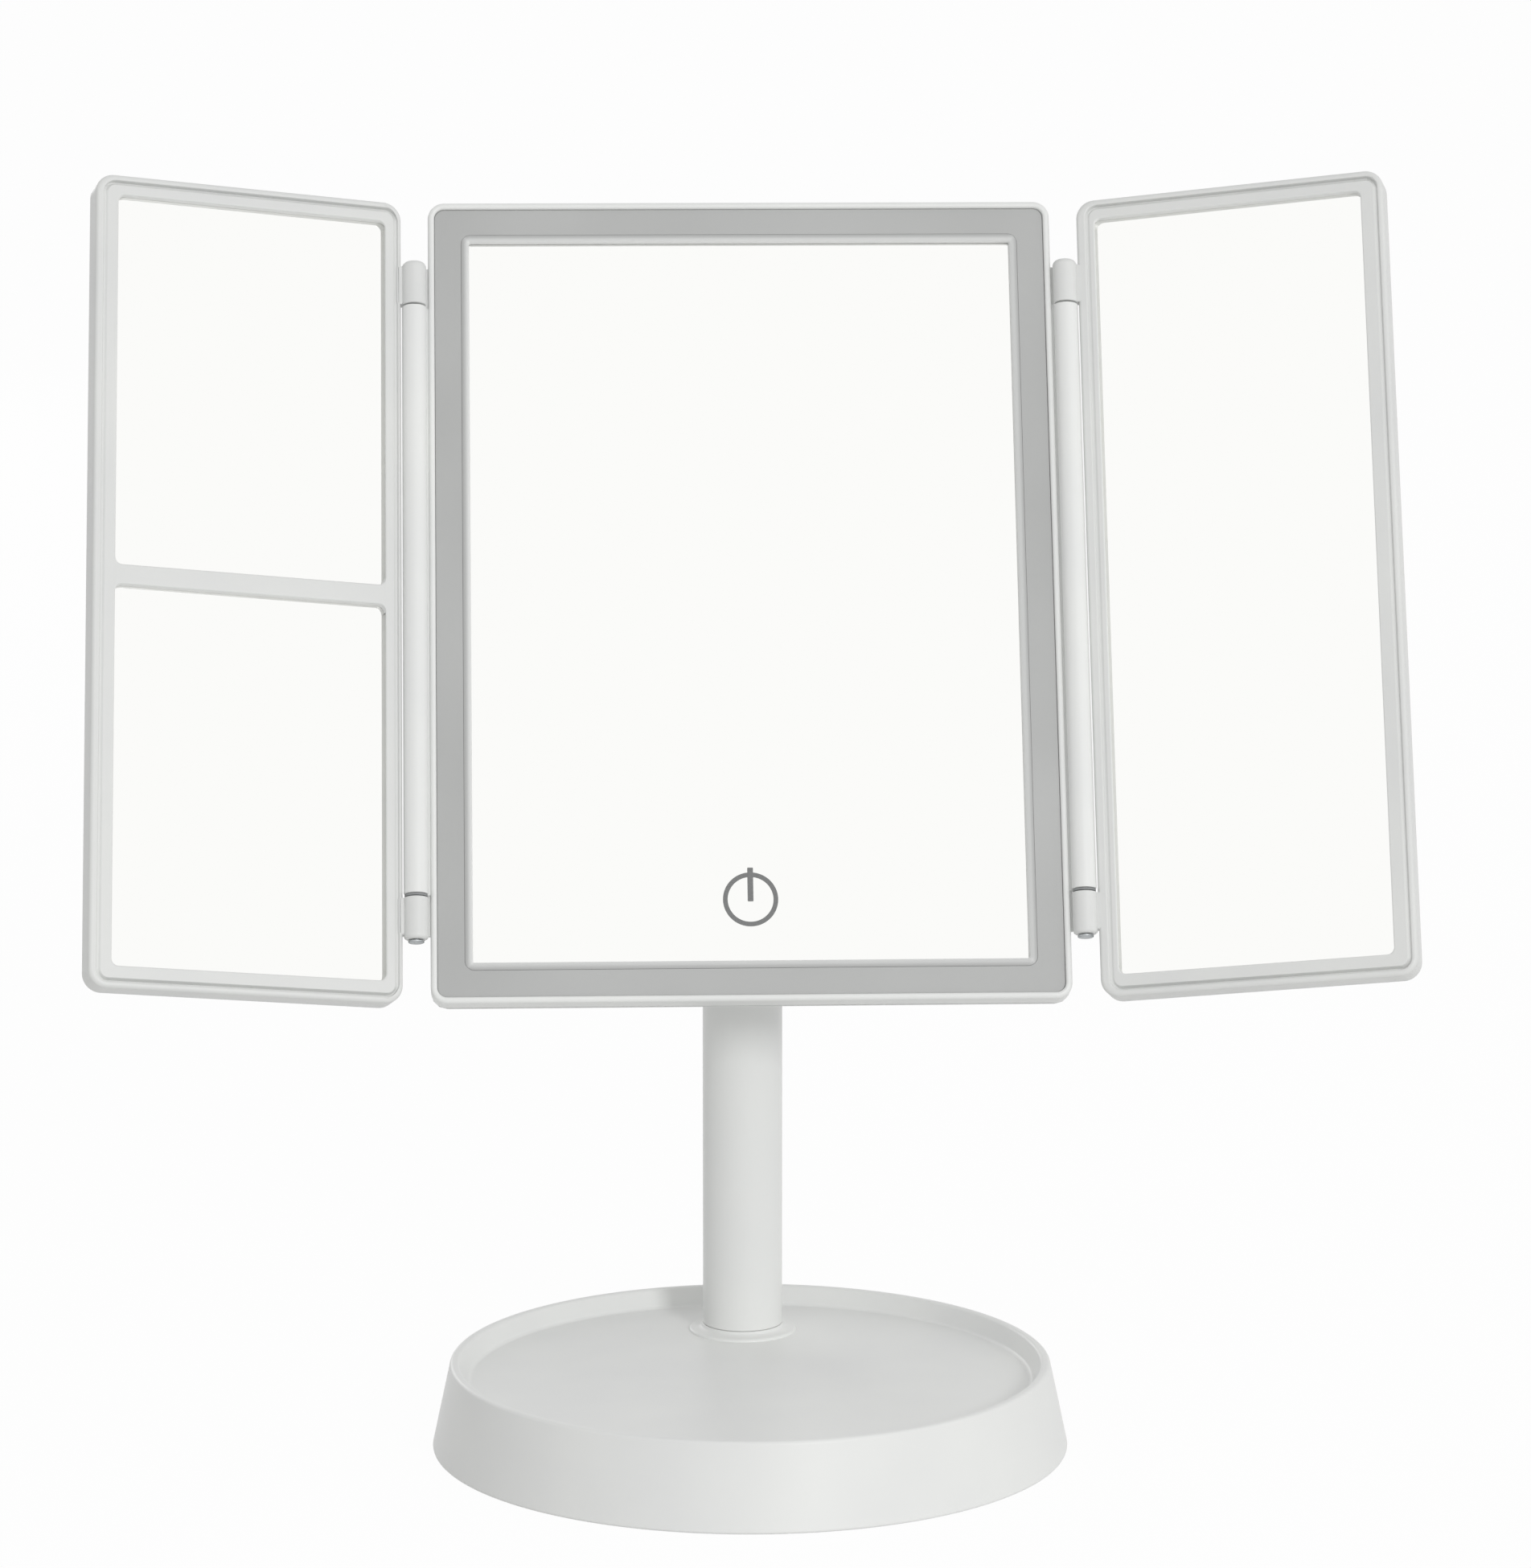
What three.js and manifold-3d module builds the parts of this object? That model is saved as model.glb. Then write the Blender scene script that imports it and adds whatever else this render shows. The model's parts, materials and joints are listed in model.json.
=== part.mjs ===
// Lighted tabletop makeup mirror.
// A lit centre panel with two folding wings tilts on a stem over a round tray base.
// Units are millimetres, +Z is up and the front faces -Y.
// The origin is the centre of the underside of the anti-slip pad.

import * as THREE from 'three';
import { mergeVertices } from 'three/addons/utils/BufferGeometryUtils.js';
import Module from 'manifold-3d';

const wasm = await Module();
wasm.setup();

// Clearances
const seatGap = 0.3;
const hingeGap = 0.4;
const foldGap = 0.6;
const cutOvershoot = 1;

// Pose of the photographed mirror, in degrees
const panelTilt = 23.7;
const leftWingAngle = 17.3;
const rightWingAngle = 17.6;

// Base
const baseBottomRadius = 78.2;
const baseTaper = 4.3;
const baseHeight = 21.4;
const baseWall = 2.2;
const baseEdgeRadius = 1.1;
const baseFootRound = 0.6;
const rimArcFrom = 10;
const rimArcTo = 160;
const trayDepth = 4.6;
const trayWallRun = 2.4;
const trayFloorThickness = 2;
const padThickness = 1.4;
const padShowing = 0.2;
const padMargin = 2;
const padRound = 0.5;
const bottomCoverThickness = 2;
const weightMargin = 24.5;
const weightThickness = 6;
const baseScrewInset = 14.5;
const baseScrewCount = 4;
const baseScrewRadius = 1.5;
const baseScrewHeadRadius = 2.8;
const baseScrewLength = 8;
const baseBossRadius = 4;

// Stem
const stemRadius = 10;
const stemWall = 1.8;
const stemInset = 32.7;
const stemCollarHeight = 1.8;
const stemCollarFlare = 3.6;
const stemCollarLip = 0.35;
const stemSpigotRadius = 6.6;
const stemSpigotLength = 3.2;
const stemFootThickness = 9;
const stemScrewRadius = 2;
const stemScrewHeadRadius = 4;
const stemScrewHeadHeight = 2.8;
const stemScrewHeadRound = 1;
const stemBossRadius = 12;
const stemBossDepth = 4;
const headPlugLength = 14;
const headLugRadius = 8.6;
const headLugWidth = 15;
const headShoulder = 3;
const headShoulderRound = 1;
const headPlugLead = 1;

// Tilt hinge
const pivotHeight = 198.7;
const pivotDepth = 21.8;
const axleRadius = 2.5;
const axleHeadRadius = 4.6;
const axleHeadHeight = 2.4;
const axleHeadRound = 1.3;
const nutHeight = 3.2;
const nutSides = 6;
const washerRadius = 7.2;
const washerThickness = 0.8;
const earThickness = 4.6;
const earTipRadius = 8.6;
const earRootHalf = 13;
const hingePadHeight = 1.6;
const hingePadMargin = 4;

// Centre panel
const frameHalfWidth = 77.4;
const frameHalfHeight = 101.6;
const frameCornerRadius = 4;
const frameDepth = 5.9;
const frameWall = 1.5;
const lipWidth = 1.6;
const lipOuterRound = 1.1;
const lipInnerRound = 0.35;
const diffuserDrop = 1;
const diffuserThickness = 1.2;
const diffuserLedge = 1.2;
const ledgeThickness = 1.2;
const bandWidth = 6.65;
const bezelWidth = 1.95;
const bezelDrop = 0.3;
const mirrorRecess = 2.4;
const bezelLedge = 1.5;
const bezelWall = 1;
const bezelRound = 0.55;
const mirrorThickness = 1.8;
const glassChamfer = 0.22;
const backingThickness = 0.7;
const mirrorCornerRadius = 0.4;
const touchIconRise = 15.4;
const touchPadRadius = 7;
const backPlateThickness = 1.7;
const backPlateRound = 1;
const frameBossRadius = 2.5;
const frameBossInset = 5;
const backScrewRadius = 1;
const backScrewHeadRadius = 1.9;
const backScrewHeadHeight = 0.9;
const backScrewHeadRound = 0.4;

// Lights behind the diffuser
const ledBoardWidth = 4.3;
const ledBoardThickness = 0.8;
const ledPitch = 25;
const ledSize = 2.8;
const ledHeight = 0.7;
const ledBoardEndMargin = 11;

// Rear housing with the cells, the socket and the switch
const cellRadius = 5.25;
const cellLength = 44.5;
const cellButtonRadius = 1.9;
const cellButtonHeight = 0.8;
const cellEdgeRound = 0.4;
const cellCount = 4;
const cellPitch = 11.2;
const contactThickness = 0.4;
const contactWidth = 8;
const springHeight = 4.4;
const springWireRadius = 0.35;
const springBaseRadius = 3.3;
const springTipRadius = 2.3;
const springTurns = 3.25;
const springSides = 5;
const springStepsPerTurn = 8;
const housingRise = 12.7;
const housingWall = 1.6;
const housingDraft = 1.8;
const housingEdgeRound = 1.6;
const housingCornerRadius = 9;
const housingAbovePivot = 14.5;
const doorThickness = 1.8;
const doorLedge = 2;
const doorCornerRadius = 4;
const doorEdgeRound = 0.6;
const pocketCornerRadius = 2;
const doorTabWidth = 7;
const doorTabReach = 2.2;
const doorTabDrop = 1;
const doorNotchDepth = 2.8;
const gripRibCount = 4;
const gripRibLength = 14;
const gripRibPitch = 2.2;
const gripRibHeight = 0.5;
const gripRibHalfWidth = 0.44;
const gripRibInset = 6;
const electronicsWidth = 19;
const electronicsHeight = 44;
const boardThickness = 1.2;
const boardPostHeight = 1.2;
const boardPostRadius = 2;
const boardPostInset = 6;
const boardCornerRadius = 1;
const chipHalfWidth = 4.4;
const chipHalfLength = 3.4;
const chipRise = 7.8;
const coilHalfSize = 2.8;
const coilDrop = 11;
const socketWidth = 7.6;
const socketHeight = 2.8;
const socketLength = 5.6;
const socketWall = 0.4;
const socketCornerRadius = 0.7;
const tongueHalfWidth = 2.2;
const tongueHalfHeight = 0.4;
const switchTravel = 3;
const knobLength = 4.6;
const knobWidth = 2.8;
const knobProud = 0.8;
const knobEdge = 0.3;
const knobGroove = 0.4;
const knobGroovePitch = 1.15;
const switchCanLength = 10;
const switchCanWidth = 5;
const switchCanHeight = 3.4;

// Wings
const wingDrop = 0.5;
const wingHalfHeight = 101.4;
const wingThickness = 7.2;
const wingCornerRadius = 4.5;
const wingRimWidth = 1.5;
const wingRimRound = 1.05;
const wingBackRound = 0.6;
const wingFieldDrop = 0.4;
const wingGrooveWidth = 1;
const wingGrooveDepth = 0.6;
const wingGrooveShift = 0.5;
const wingTopBorder = 4.9;
const wingBottomBorder = 5.5;
const wingSideBorder = 5.05;
const wingOpeningShift = 0.65;
const wingFaceThickness = 1.8;
const wingPocketMargin = 1.8;
const wingCoverThickness = 2.1;
const wingCoverMargin = 1.8;
const openingCornerRadius = 1.8;
const openingRound = 0.8;
const dividerWidth = 5;
const dividerRib = 2;

// Wing hinges
const barrelRadius = 3;
const barrelInset = 27.1;
const barrelDrop = 0.4;
const knuckleLength = 11.2;
const knuckleGap = 0.4;
const lowerKnuckleLength = 10.4;
const lowerKnuckleGap = 0.8;
const knuckleDome = 1.2;
const knuckleDomeSteps = 2;
const pinRadius = 0.9;
const pinInBarrel = 9;
const pinHeadRadius = 2;
const pinHeadHeight = 0.5;

// Facets
const roundSteps = 48;
const tubeSteps = 20;
const cellSteps = 14;
const smallSteps = 10;
const cornerSteps = 3;
const edgeSteps = 2;
const rimSteps = 5;

// Sizes that follow from the ones above
const degree = Math.PI / 180;
const baseRimRadius = baseBottomRadius - baseTaper;
const baseScrewCircle = baseBottomRadius - baseScrewInset;
const stemBehindCentre = baseBottomRadius - stemInset;
const bandHalfWidth = frameHalfWidth - lipWidth;
const bandHalfHeight = frameHalfHeight - lipWidth;
const bezelHalfWidth = bandHalfWidth - bandWidth;
const bezelHalfHeight = bandHalfHeight - bandWidth;
const openingHalfWidth = bezelHalfWidth - bezelWidth;
const openingHalfHeight = bezelHalfHeight - bezelWidth;
const touchIconDrop = openingHalfHeight - touchIconRise;
const ledgeDepth = diffuserDrop + diffuserThickness + seatGap;
const mirrorFront = bezelDrop + mirrorRecess;
const mirrorBack = mirrorFront + mirrorThickness;
const backPlateFront = frameDepth + seatGap;
const backPlateBack = backPlateFront + backPlateThickness;
const barrelHalfLength = frameHalfHeight - barrelInset;
const hingeX = frameHalfWidth + hingeGap + barrelRadius;
const wingInner = barrelRadius + hingeGap;
const wingOuter = hingeX - hingeGap;
const wingHalfWidth = (wingOuter - wingInner) / 2;
const wingMiddle = (wingOuter + wingInner) / 2;
const floorTop = baseHeight - trayDepth;
const shellBottom = padShowing;
const collarTop = floorTop + stemCollarHeight;
const stemFoot = collarTop + seatGap;
const bottomCoverTop = padThickness + seatGap + bottomCoverThickness;
const stemTop = pivotHeight - headLugRadius - headShoulder - seatGap;
const housingBack = backPlateBack + housingRise;
const doorFront = housingBack - doorThickness;
const pocketFloor = doorFront - seatGap - 2 * cellRadius - seatGap;
const pocketHalfWidth = (cellCount * cellPitch) / 2 + seatGap;
const pocketLength = cellLength + springHeight + 2 * contactThickness + 4 * seatGap;
const pocketHalfHeight = pocketLength / 2;
const doorHalfWidth = pocketHalfWidth + doorLedge - seatGap;
const doorHalfHeight = pocketHalfHeight + doorLedge - seatGap;
const housingHalfHeight = doorHalfHeight + seatGap + housingWall;
const sideCentre = doorHalfWidth + seatGap + housingWall + electronicsWidth / 2;
const housingHalfWidth = sideCentre + electronicsWidth / 2 + housingWall;
const housingMiddle = housingAbovePivot + housingDraft + housingHalfHeight;
const electronicsBack = housingBack - housingWall;

// Directions of a turned profile of [radius, height], and of a section of [inset, depth]
const rightward = [1, 0];
const leftward = [-1, 0];
const upward = [0, 1];
const inward = [1, 0];
const outward = [-1, 0];
const forward = [0, -1];
const backward = [0, 1];

function solidFrom(geometry) {
  const bare = new THREE.BufferGeometry();
  bare.setAttribute('position', geometry.getAttribute('position').clone());
  if (geometry.index) {
    bare.setIndex(geometry.index.clone());
  }
  const merged = mergeVertices(bare, 1e-4);
  const vertProperties = new Float32Array(merged.getAttribute('position').array);
  const triVerts = new Uint32Array(merged.index.array);
  return new wasm.Manifold(new wasm.Mesh({ numProp: 3, vertProperties, triVerts }));
}

function geometryFrom(solid) {
  const mesh = solid.getMesh();
  const geometry = new THREE.BufferGeometry();
  geometry.setAttribute('position', new THREE.BufferAttribute(mesh.vertProperties, 3));
  geometry.setIndex(new THREE.BufferAttribute(mesh.triVerts, 1));
  geometry.computeVertexNormals();
  return geometry;
}

// Points round a rectangle with rounded corners, anticlockwise in width and height
function roundedOutline(halfWidth, halfHeight, radius) {
  const points = [];
  const corners = [[1, 1], [-1, 1], [-1, -1], [1, -1]];
  corners.forEach(([sideX, sideZ], quarter) => {
    for (let step = 0; step <= cornerSteps; step += 1) {
      const angle = (quarter + step / cornerSteps) * Math.PI / 2;
      const x = sideX * (halfWidth - radius) + radius * Math.cos(angle);
      const z = sideZ * (halfHeight - radius) + radius * Math.sin(angle);
      points.push([x, z]);
    }
  });
  return points;
}

// Joins rings of equal length into a closed skin, as a loop or between two flat ends
function skinRings(rings, looped) {
  const count = rings[0].length;
  const positions = rings.flat(2);
  const faces = [];
  const bands = looped ? rings.length : rings.length - 1;
  for (let band = 0; band < bands; band += 1) {
    const here = band * count;
    const next = ((band + 1) % rings.length) * count;
    for (let i = 0; i < count; i += 1) {
      const j = (i + 1) % count;
      faces.push(here + i, here + j, next + j, here + i, next + j, next + i);
    }
  }
  if (!looped) {
    const last = (rings.length - 1) * count;
    for (let i = 1; i < count - 1; i += 1) {
      faces.push(0, i + 1, i, last, last + i, last + i + 1);
    }
  }
  const geometry = new THREE.BufferGeometry();
  geometry.setAttribute('position', new THREE.Float32BufferAttribute(positions, 3));
  geometry.setIndex(faces);
  return geometry;
}

// A section of [inset, depth] points carried round a rounded rectangle
// Depth runs along +Y from the front plane, and a positive inset is towards the middle
// A third value sets the corner radius there, which otherwise shrinks with the inset
function ringsOnRectangle(section, halfWidth, halfHeight, radius) {
  const leastRadius = 0.3;
  return section.map(([inset, depth, corner = Math.max(radius - inset, leastRadius)]) => {
    const points = roundedOutline(halfWidth - inset, halfHeight - inset, corner);
    return points.map(([x, z]) => [x, depth, z]);
  });
}

// The section is listed back to front on its outer side, then front to back on its inner side
function sweptFrame(section, halfWidth, halfHeight, radius) {
  return solidFrom(skinRings(ringsOnRectangle(section, halfWidth, halfHeight, radius), true));
}

// The layers run from the front to the back
function loftedPlate(layers, halfWidth, halfHeight, radius) {
  const rings = ringsOnRectangle([...layers].reverse(), halfWidth, halfHeight, radius);
  return solidFrom(skinRings(rings, false));
}

function plainPlate(front, back, halfWidth, halfHeight, radius) {
  return loftedPlate([[0, front], [0, back]], halfWidth, halfHeight, radius);
}

function block(minimum, maximum) {
  const low = new THREE.Vector3(...minimum);
  const high = new THREE.Vector3(...maximum);
  const size = high.clone().sub(low);
  const geometry = new THREE.BoxGeometry(size.x, size.y, size.z);
  const middle = low.add(high).multiplyScalar(0.5);
  return solidFrom(geometry.translate(middle.x, middle.y, middle.z));
}

// A profile of [radius, height] points turned round the Z axis
function turned(profile, steps) {
  const points = profile.map(([radius, height]) => new THREE.Vector2(radius, height));
  return solidFrom(new THREE.LatheGeometry(points, steps).rotateX(Math.PI / 2));
}

function rod(radius, bottom, top, steps = smallSteps) {
  return turned([[0, bottom], [radius, bottom], [radius, top], [0, top]], steps);
}

// A rod along +Y, for what is drilled or set from the front of a panel
function depthRod(radius, front, back, x, z, steps = smallSteps) {
  return rod(radius, -back, -front, steps).rotate([90, 0, 0]).translate([x, 0, z]);
}

// A rod along X, for the tilt axle
function crossRod(radius, left, right, steps = smallSteps) {
  return rod(radius, left, right, steps).rotate([0, 90, 0]);
}

// A shape drawn in depth and height, extruded along X about the middle
function acrossX(shape, width) {
  const geometry = new THREE.ExtrudeGeometry(shape, {
    depth: width, bevelEnabled: false, curveSegments: smallSteps,
  });
  geometry.translate(0, 0, -width / 2).rotateX(Math.PI / 2).rotateZ(Math.PI / 2);
  return solidFrom(geometry);
}

function arcPoints(centreR, centreZ, radius, from, to, steps) {
  return Array.from({ length: steps + 1 }, (_, step) => {
    const angle = (from + (to - from) * step / steps) * degree;
    return [centreR + radius * Math.cos(angle), centreZ + radius * Math.sin(angle)];
  });
}

// A profile corner eased to a quarter circle between the direction in and the direction out
function eased([cornerX, cornerY], [inX, inY], [outX, outY], size, steps = edgeSteps) {
  return Array.from({ length: steps + 1 }, (_, step) => {
    const angle = step / steps * Math.PI / 2;
    const before = size * (1 - Math.sin(angle));
    const after = size * (1 - Math.cos(angle));
    return [cornerX - inX * before + outX * after, cornerY - inY * before + outY * after];
  });
}

function addPiece(parent, name, solid, material) {
  const mesh = new THREE.Mesh(geometryFrom(solid), material.clone());
  mesh.name = name;
  parent.add(mesh);
}

function finish(colour, roughness, metalness) {
  return new THREE.MeshStandardMaterial({ color: colour, roughness, metalness });
}

const whiteAbs = finish('#e4e6e5', 0.42, 0);
const opalAcrylic = finish('#b9bab9', 0.35, 0);
const silveredGlass = finish('#f4f5f4', 0.04, 1);
const steel = finish('#a9adb0', 0.35, 1);
const zincSteel = finish('#8e9294', 0.45, 1);
const eva = finish('#d3d5d4', 0.95, 0);
const boardGreen = finish('#e9ece6', 0.5, 0);
const circuitGreen = finish('#2f6b46', 0.55, 0);
const cellSleeve = finish('#6f7478', 0.4, 0.2);
const springSteel = finish('#c9cccd', 0.3, 1);
const blackNylon = finish('#2b2c2d', 0.6, 0);

// Base

function baseWallRadius(height) {
  const share = (height - shellBottom) / (baseHeight - shellBottom);
  return baseBottomRadius + (baseRimRadius - baseBottomRadius) * share;
}

function makeBaseShell() {
  const rimMiddle = baseRimRadius - baseEdgeRadius;
  const edge = baseHeight - baseEdgeRadius;
  const floorRadius = rimMiddle - baseEdgeRadius - trayWallRun;
  const underFloor = floorTop - trayFloorThickness;
  const profile = [
    [0, underFloor],
    [floorRadius, underFloor],
    [baseWallRadius(underFloor) - baseWall, underFloor - baseWall],
    [baseBottomRadius - baseWall, shellBottom],
    ...eased([baseBottomRadius, shellBottom], rightward, upward, baseFootRound),
    ...arcPoints(rimMiddle, edge, baseEdgeRadius, rimArcFrom, rimArcTo, rimSteps),
    [floorRadius + baseEdgeRadius, floorTop + baseEdgeRadius / 2],
    [floorRadius - baseEdgeRadius, floorTop],
    [0, floorTop],
  ];
  let shell = turned(profile, roundSteps);
  const collar = turned([
    [0, underFloor],
    [stemRadius + stemCollarFlare, underFloor],
    ...collarSide(),
    [0, collarTop],
  ], tubeSteps);
  const boss = rod(stemBossRadius, underFloor - stemBossDepth, floorTop, tubeSteps);
  shell = shell.add(collar.add(boss).translate([0, stemBehindCentre, 0]));
  baseScrewPlaces().forEach(([x, y]) => {
    const post = rod(baseBossRadius, bottomCoverTop + seatGap, floorTop - seatGap);
    shell = shell.add(post.translate([x, y, 0]));
  });
  const socket = rod(
    stemSpigotRadius + seatGap, collarTop - stemSpigotLength - seatGap, collarTop + cutOvershoot,
    tubeSteps,
  );
  const screwHole = rod(stemScrewRadius + seatGap, 0, collarTop);
  shell = shell.subtract(socket.add(screwHole).translate([0, stemBehindCentre, 0]));
  baseScrewPlaces().forEach(([x, y]) => {
    const pilot = rod(baseScrewRadius + seatGap, 0, bottomCoverTop + baseScrewLength);
    shell = shell.subtract(pilot.translate([x, y, 0]));
  });
  return shell;
}

// The collar sweeps down from the stem's foot to the tray floor in a quarter of an ellipse
function collarSide() {
  const reach = stemCollarFlare - stemCollarLip;
  return eased([0, 0], leftward, upward, 1, cornerSteps).map(([inward, rise]) => [
    stemRadius + stemCollarLip + inward * reach,
    floorTop + rise * stemCollarHeight,
  ]);
}

function baseScrewPlaces() {
  return Array.from({ length: baseScrewCount }, (_, index) => {
    const angle = (index + 0.5) * 2 * Math.PI / baseScrewCount;
    return [baseScrewCircle * Math.cos(angle), baseScrewCircle * Math.sin(angle)];
  });
}

function makeBottomCover() {
  const top = bottomCoverTop;
  const bottom = top - bottomCoverThickness;
  const radius = baseBottomRadius - baseWall - seatGap - baseEdgeRadius;
  let cover = rod(radius, bottom, top, roundSteps);
  baseScrewPlaces().forEach(([x, y]) => {
    const sink = turned([
      [0, bottom - cutOvershoot],
      [baseScrewHeadRadius + seatGap, bottom - cutOvershoot],
      [baseScrewHeadRadius + seatGap, bottom + bottomCoverThickness / 2],
      [baseScrewRadius + seatGap, bottom + bottomCoverThickness / 2],
      [baseScrewRadius + seatGap, top + cutOvershoot],
      [0, top + cutOvershoot],
    ], smallSteps);
    cover = cover.subtract(sink.translate([x, y, 0]));
  });
  return cover;
}

function makeBaseScrew() {
  const seat = bottomCoverTop - bottomCoverThickness / 2 - seatGap;
  return turned([
    [0, padThickness + seatGap],
    [baseScrewHeadRadius, padThickness + seatGap],
    [baseScrewHeadRadius, seat],
    [baseScrewRadius, seat],
    [baseScrewRadius, bottomCoverTop + baseScrewLength - seatGap],
    [0, bottomCoverTop + baseScrewLength - seatGap],
  ], smallSteps);
}

function makeWeight() {
  const bottom = bottomCoverTop + seatGap;
  const radius = baseBottomRadius - weightMargin;
  const plate = rod(radius, bottom, bottom + weightThickness, roundSteps);
  const clearance = rod(stemBossRadius + cutOvershoot, 0, baseHeight, tubeSteps);
  return plate.subtract(clearance.translate([0, stemBehindCentre, 0]));
}

function makePad() {
  const radius = baseBottomRadius - baseWall - padMargin;
  return turned([
    [0, 0],
    ...eased([radius, 0], rightward, upward, padRound),
    [radius, padThickness],
    [0, padThickness],
  ], roundSteps);
}

// Stem

function makeStemTube() {
  const inner = stemRadius - stemWall;
  const footTop = stemFoot + stemFootThickness;
  const pilot = stemScrewRadius + seatGap;
  return turned([
    [pilot, stemFoot - stemSpigotLength],
    [stemSpigotRadius, stemFoot - stemSpigotLength],
    [stemSpigotRadius, stemFoot],
    [stemRadius, stemFoot],
    [stemRadius, stemTop],
    [inner, stemTop],
    [inner, footTop],
    [pilot, footTop],
    [pilot, stemFoot - stemSpigotLength],
  ], tubeSteps);
}

function makeStemScrew() {
  const seat = floorTop - trayFloorThickness - stemBossDepth - seatGap;
  const tip = stemFoot + stemFootThickness - seatGap;
  return turned([
    [0, seat - stemScrewHeadHeight],
    ...eased([stemScrewHeadRadius, seat - stemScrewHeadHeight], rightward, upward, stemScrewHeadRound),
    [stemScrewHeadRadius, seat],
    [stemScrewRadius, seat],
    [stemScrewRadius, tip],
    [0, tip],
  ], smallSteps);
}

function makeStemHead() {
  const plugRadius = stemRadius - stemWall - seatGap;
  const shoulderTop = stemTop + seatGap + headShoulder;
  const post = turned([
    [0, stemTop - headPlugLength],
    [plugRadius - headPlugLead, stemTop - headPlugLength],
    [plugRadius, stemTop - headPlugLength + headPlugLead],
    [plugRadius, stemTop + seatGap],
    [stemRadius, stemTop + seatGap],
    ...eased([stemRadius, shoulderTop], upward, leftward, headShoulderRound),
    [0, shoulderTop],
  ], tubeSteps);
  const shape = new THREE.Shape();
  shape.moveTo(-headLugRadius, shoulderTop - headShoulder / 2);
  shape.lineTo(headLugRadius, shoulderTop - headShoulder / 2);
  shape.lineTo(headLugRadius, pivotHeight);
  shape.absarc(0, pivotHeight, headLugRadius, 0, Math.PI, false);
  shape.closePath();
  const bore = crossRod(axleRadius + seatGap, -headLugWidth, headLugWidth)
    .translate([0, 0, pivotHeight]);
  return post.add(acrossX(shape, headLugWidth)).subtract(bore);
}

// Centre panel, in the panel's own frame: depth runs along +Y from the front plane

function makeCentreFrame() {
  const ledge = lipWidth + diffuserLedge;
  const section = [
    [0, frameDepth],
    ...eased([0, 0], forward, inward, lipOuterRound),
    ...eased([lipWidth, 0], inward, backward, lipInnerRound),
    [lipWidth, ledgeDepth],
    [ledge, ledgeDepth],
    [ledge, ledgeDepth + ledgeThickness],
    [frameWall, ledgeDepth + ledgeThickness + diffuserLedge / 2],
    [frameWall, frameDepth],
  ];
  let frame = sweptFrame(section, frameHalfWidth, frameHalfHeight, frameCornerRadius);
  framePlaces().forEach(([x, z]) => {
    const boss = depthRod(frameBossRadius, ledgeDepth, frameDepth, x, z);
    const corner = block(
      [Math.min(x, Math.sign(x) * (frameHalfWidth - frameWall / 2)), ledgeDepth, z - frameBossRadius],
      [Math.max(x, Math.sign(x) * (frameHalfWidth - frameWall / 2)), frameDepth, z + frameBossRadius],
    );
    frame = frame.add(boss).add(corner);
  });
  [-1, 1].forEach((side) => {
    frame = frame.add(makeLongBarrel(side));
  });
  framePlaces().forEach(([x, z]) => {
    const pilotFront = ledgeDepth + seatGap;
    frame = frame.subtract(
      depthRod(backScrewRadius + seatGap, pilotFront, frameDepth + cutOvershoot, x, z),
    );
  });
  return frame;
}

function framePlaces() {
  const x = frameHalfWidth - frameBossInset;
  const z = frameHalfHeight - frameBossInset;
  return [[x, z], [-x, z], [-x, -z], [x, -z]];
}

// The barrel runs beside the side wall, bored at both ends
// Its web starts level with the front plane, behind the folded wing, and is as deep as the barrel
function makeLongBarrel(side) {
  const low = -barrelDrop - barrelHalfLength;
  const high = -barrelDrop + barrelHalfLength;
  const round = rod(barrelRadius, low, high, tubeSteps);
  const across = -side * (hingeGap + barrelRadius + frameWall / 2);
  const web = block(
    [Math.min(0, across), foldGap, low],
    [Math.max(0, across), barrelRadius, high],
  );
  const boreDepth = pinInBarrel + seatGap;
  const bores = rod(pinRadius + seatGap, high - boreDepth, high + cutOvershoot)
    .add(rod(pinRadius + seatGap, low - cutOvershoot, low + boreDepth));
  return round.add(web).subtract(bores).translate([side * hingeX, -foldGap, 0]);
}

function makeDiffuser() {
  const back = diffuserDrop + diffuserThickness;
  const width = bandWidth - 2 * seatGap;
  const innerCorner = mirrorCornerRadius + bezelWidth + seatGap;
  const section = [
    [0, back],
    [0, diffuserDrop],
    [width, diffuserDrop, innerCorner],
    [width, back, innerCorner],
  ];
  const corner = frameCornerRadius - lipWidth;
  return sweptFrame(section, bandHalfWidth - seatGap, bandHalfHeight - seatGap, corner);
}

// The section runs outwards from the opening, so its insets are negative
function makeBezel() {
  const wallOuter = bezelWidth + bezelLedge;
  const wallInner = wallOuter - bezelWall;
  const flangeBack = mirrorFront - seatGap;
  const section = [
    [0, flangeBack],
    ...eased([0, bezelDrop], forward, outward, bezelRound),
    ...eased([-bezelWidth, bezelDrop], outward, backward, bezelRound),
    [-bezelWidth, ledgeDepth],
    [-wallOuter, ledgeDepth],
    [-wallOuter, frameDepth],
    [-wallInner, frameDepth],
    [-wallInner, flangeBack],
  ].reverse();
  return sweptFrame(section, openingHalfWidth, openingHalfHeight, mirrorCornerRadius);
}

function glassMargin() {
  return bezelWidth + bezelLedge - bezelWall - seatGap;
}

// A glass pane with its front edges ground to a narrow chamfer
function glassPane(front, halfWidth, halfHeight, radius) {
  const layers = [
    [glassChamfer, front],
    [0, front + glassChamfer],
    [0, front + mirrorThickness],
  ];
  return loftedPlate(layers, halfWidth, halfHeight, radius);
}

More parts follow.
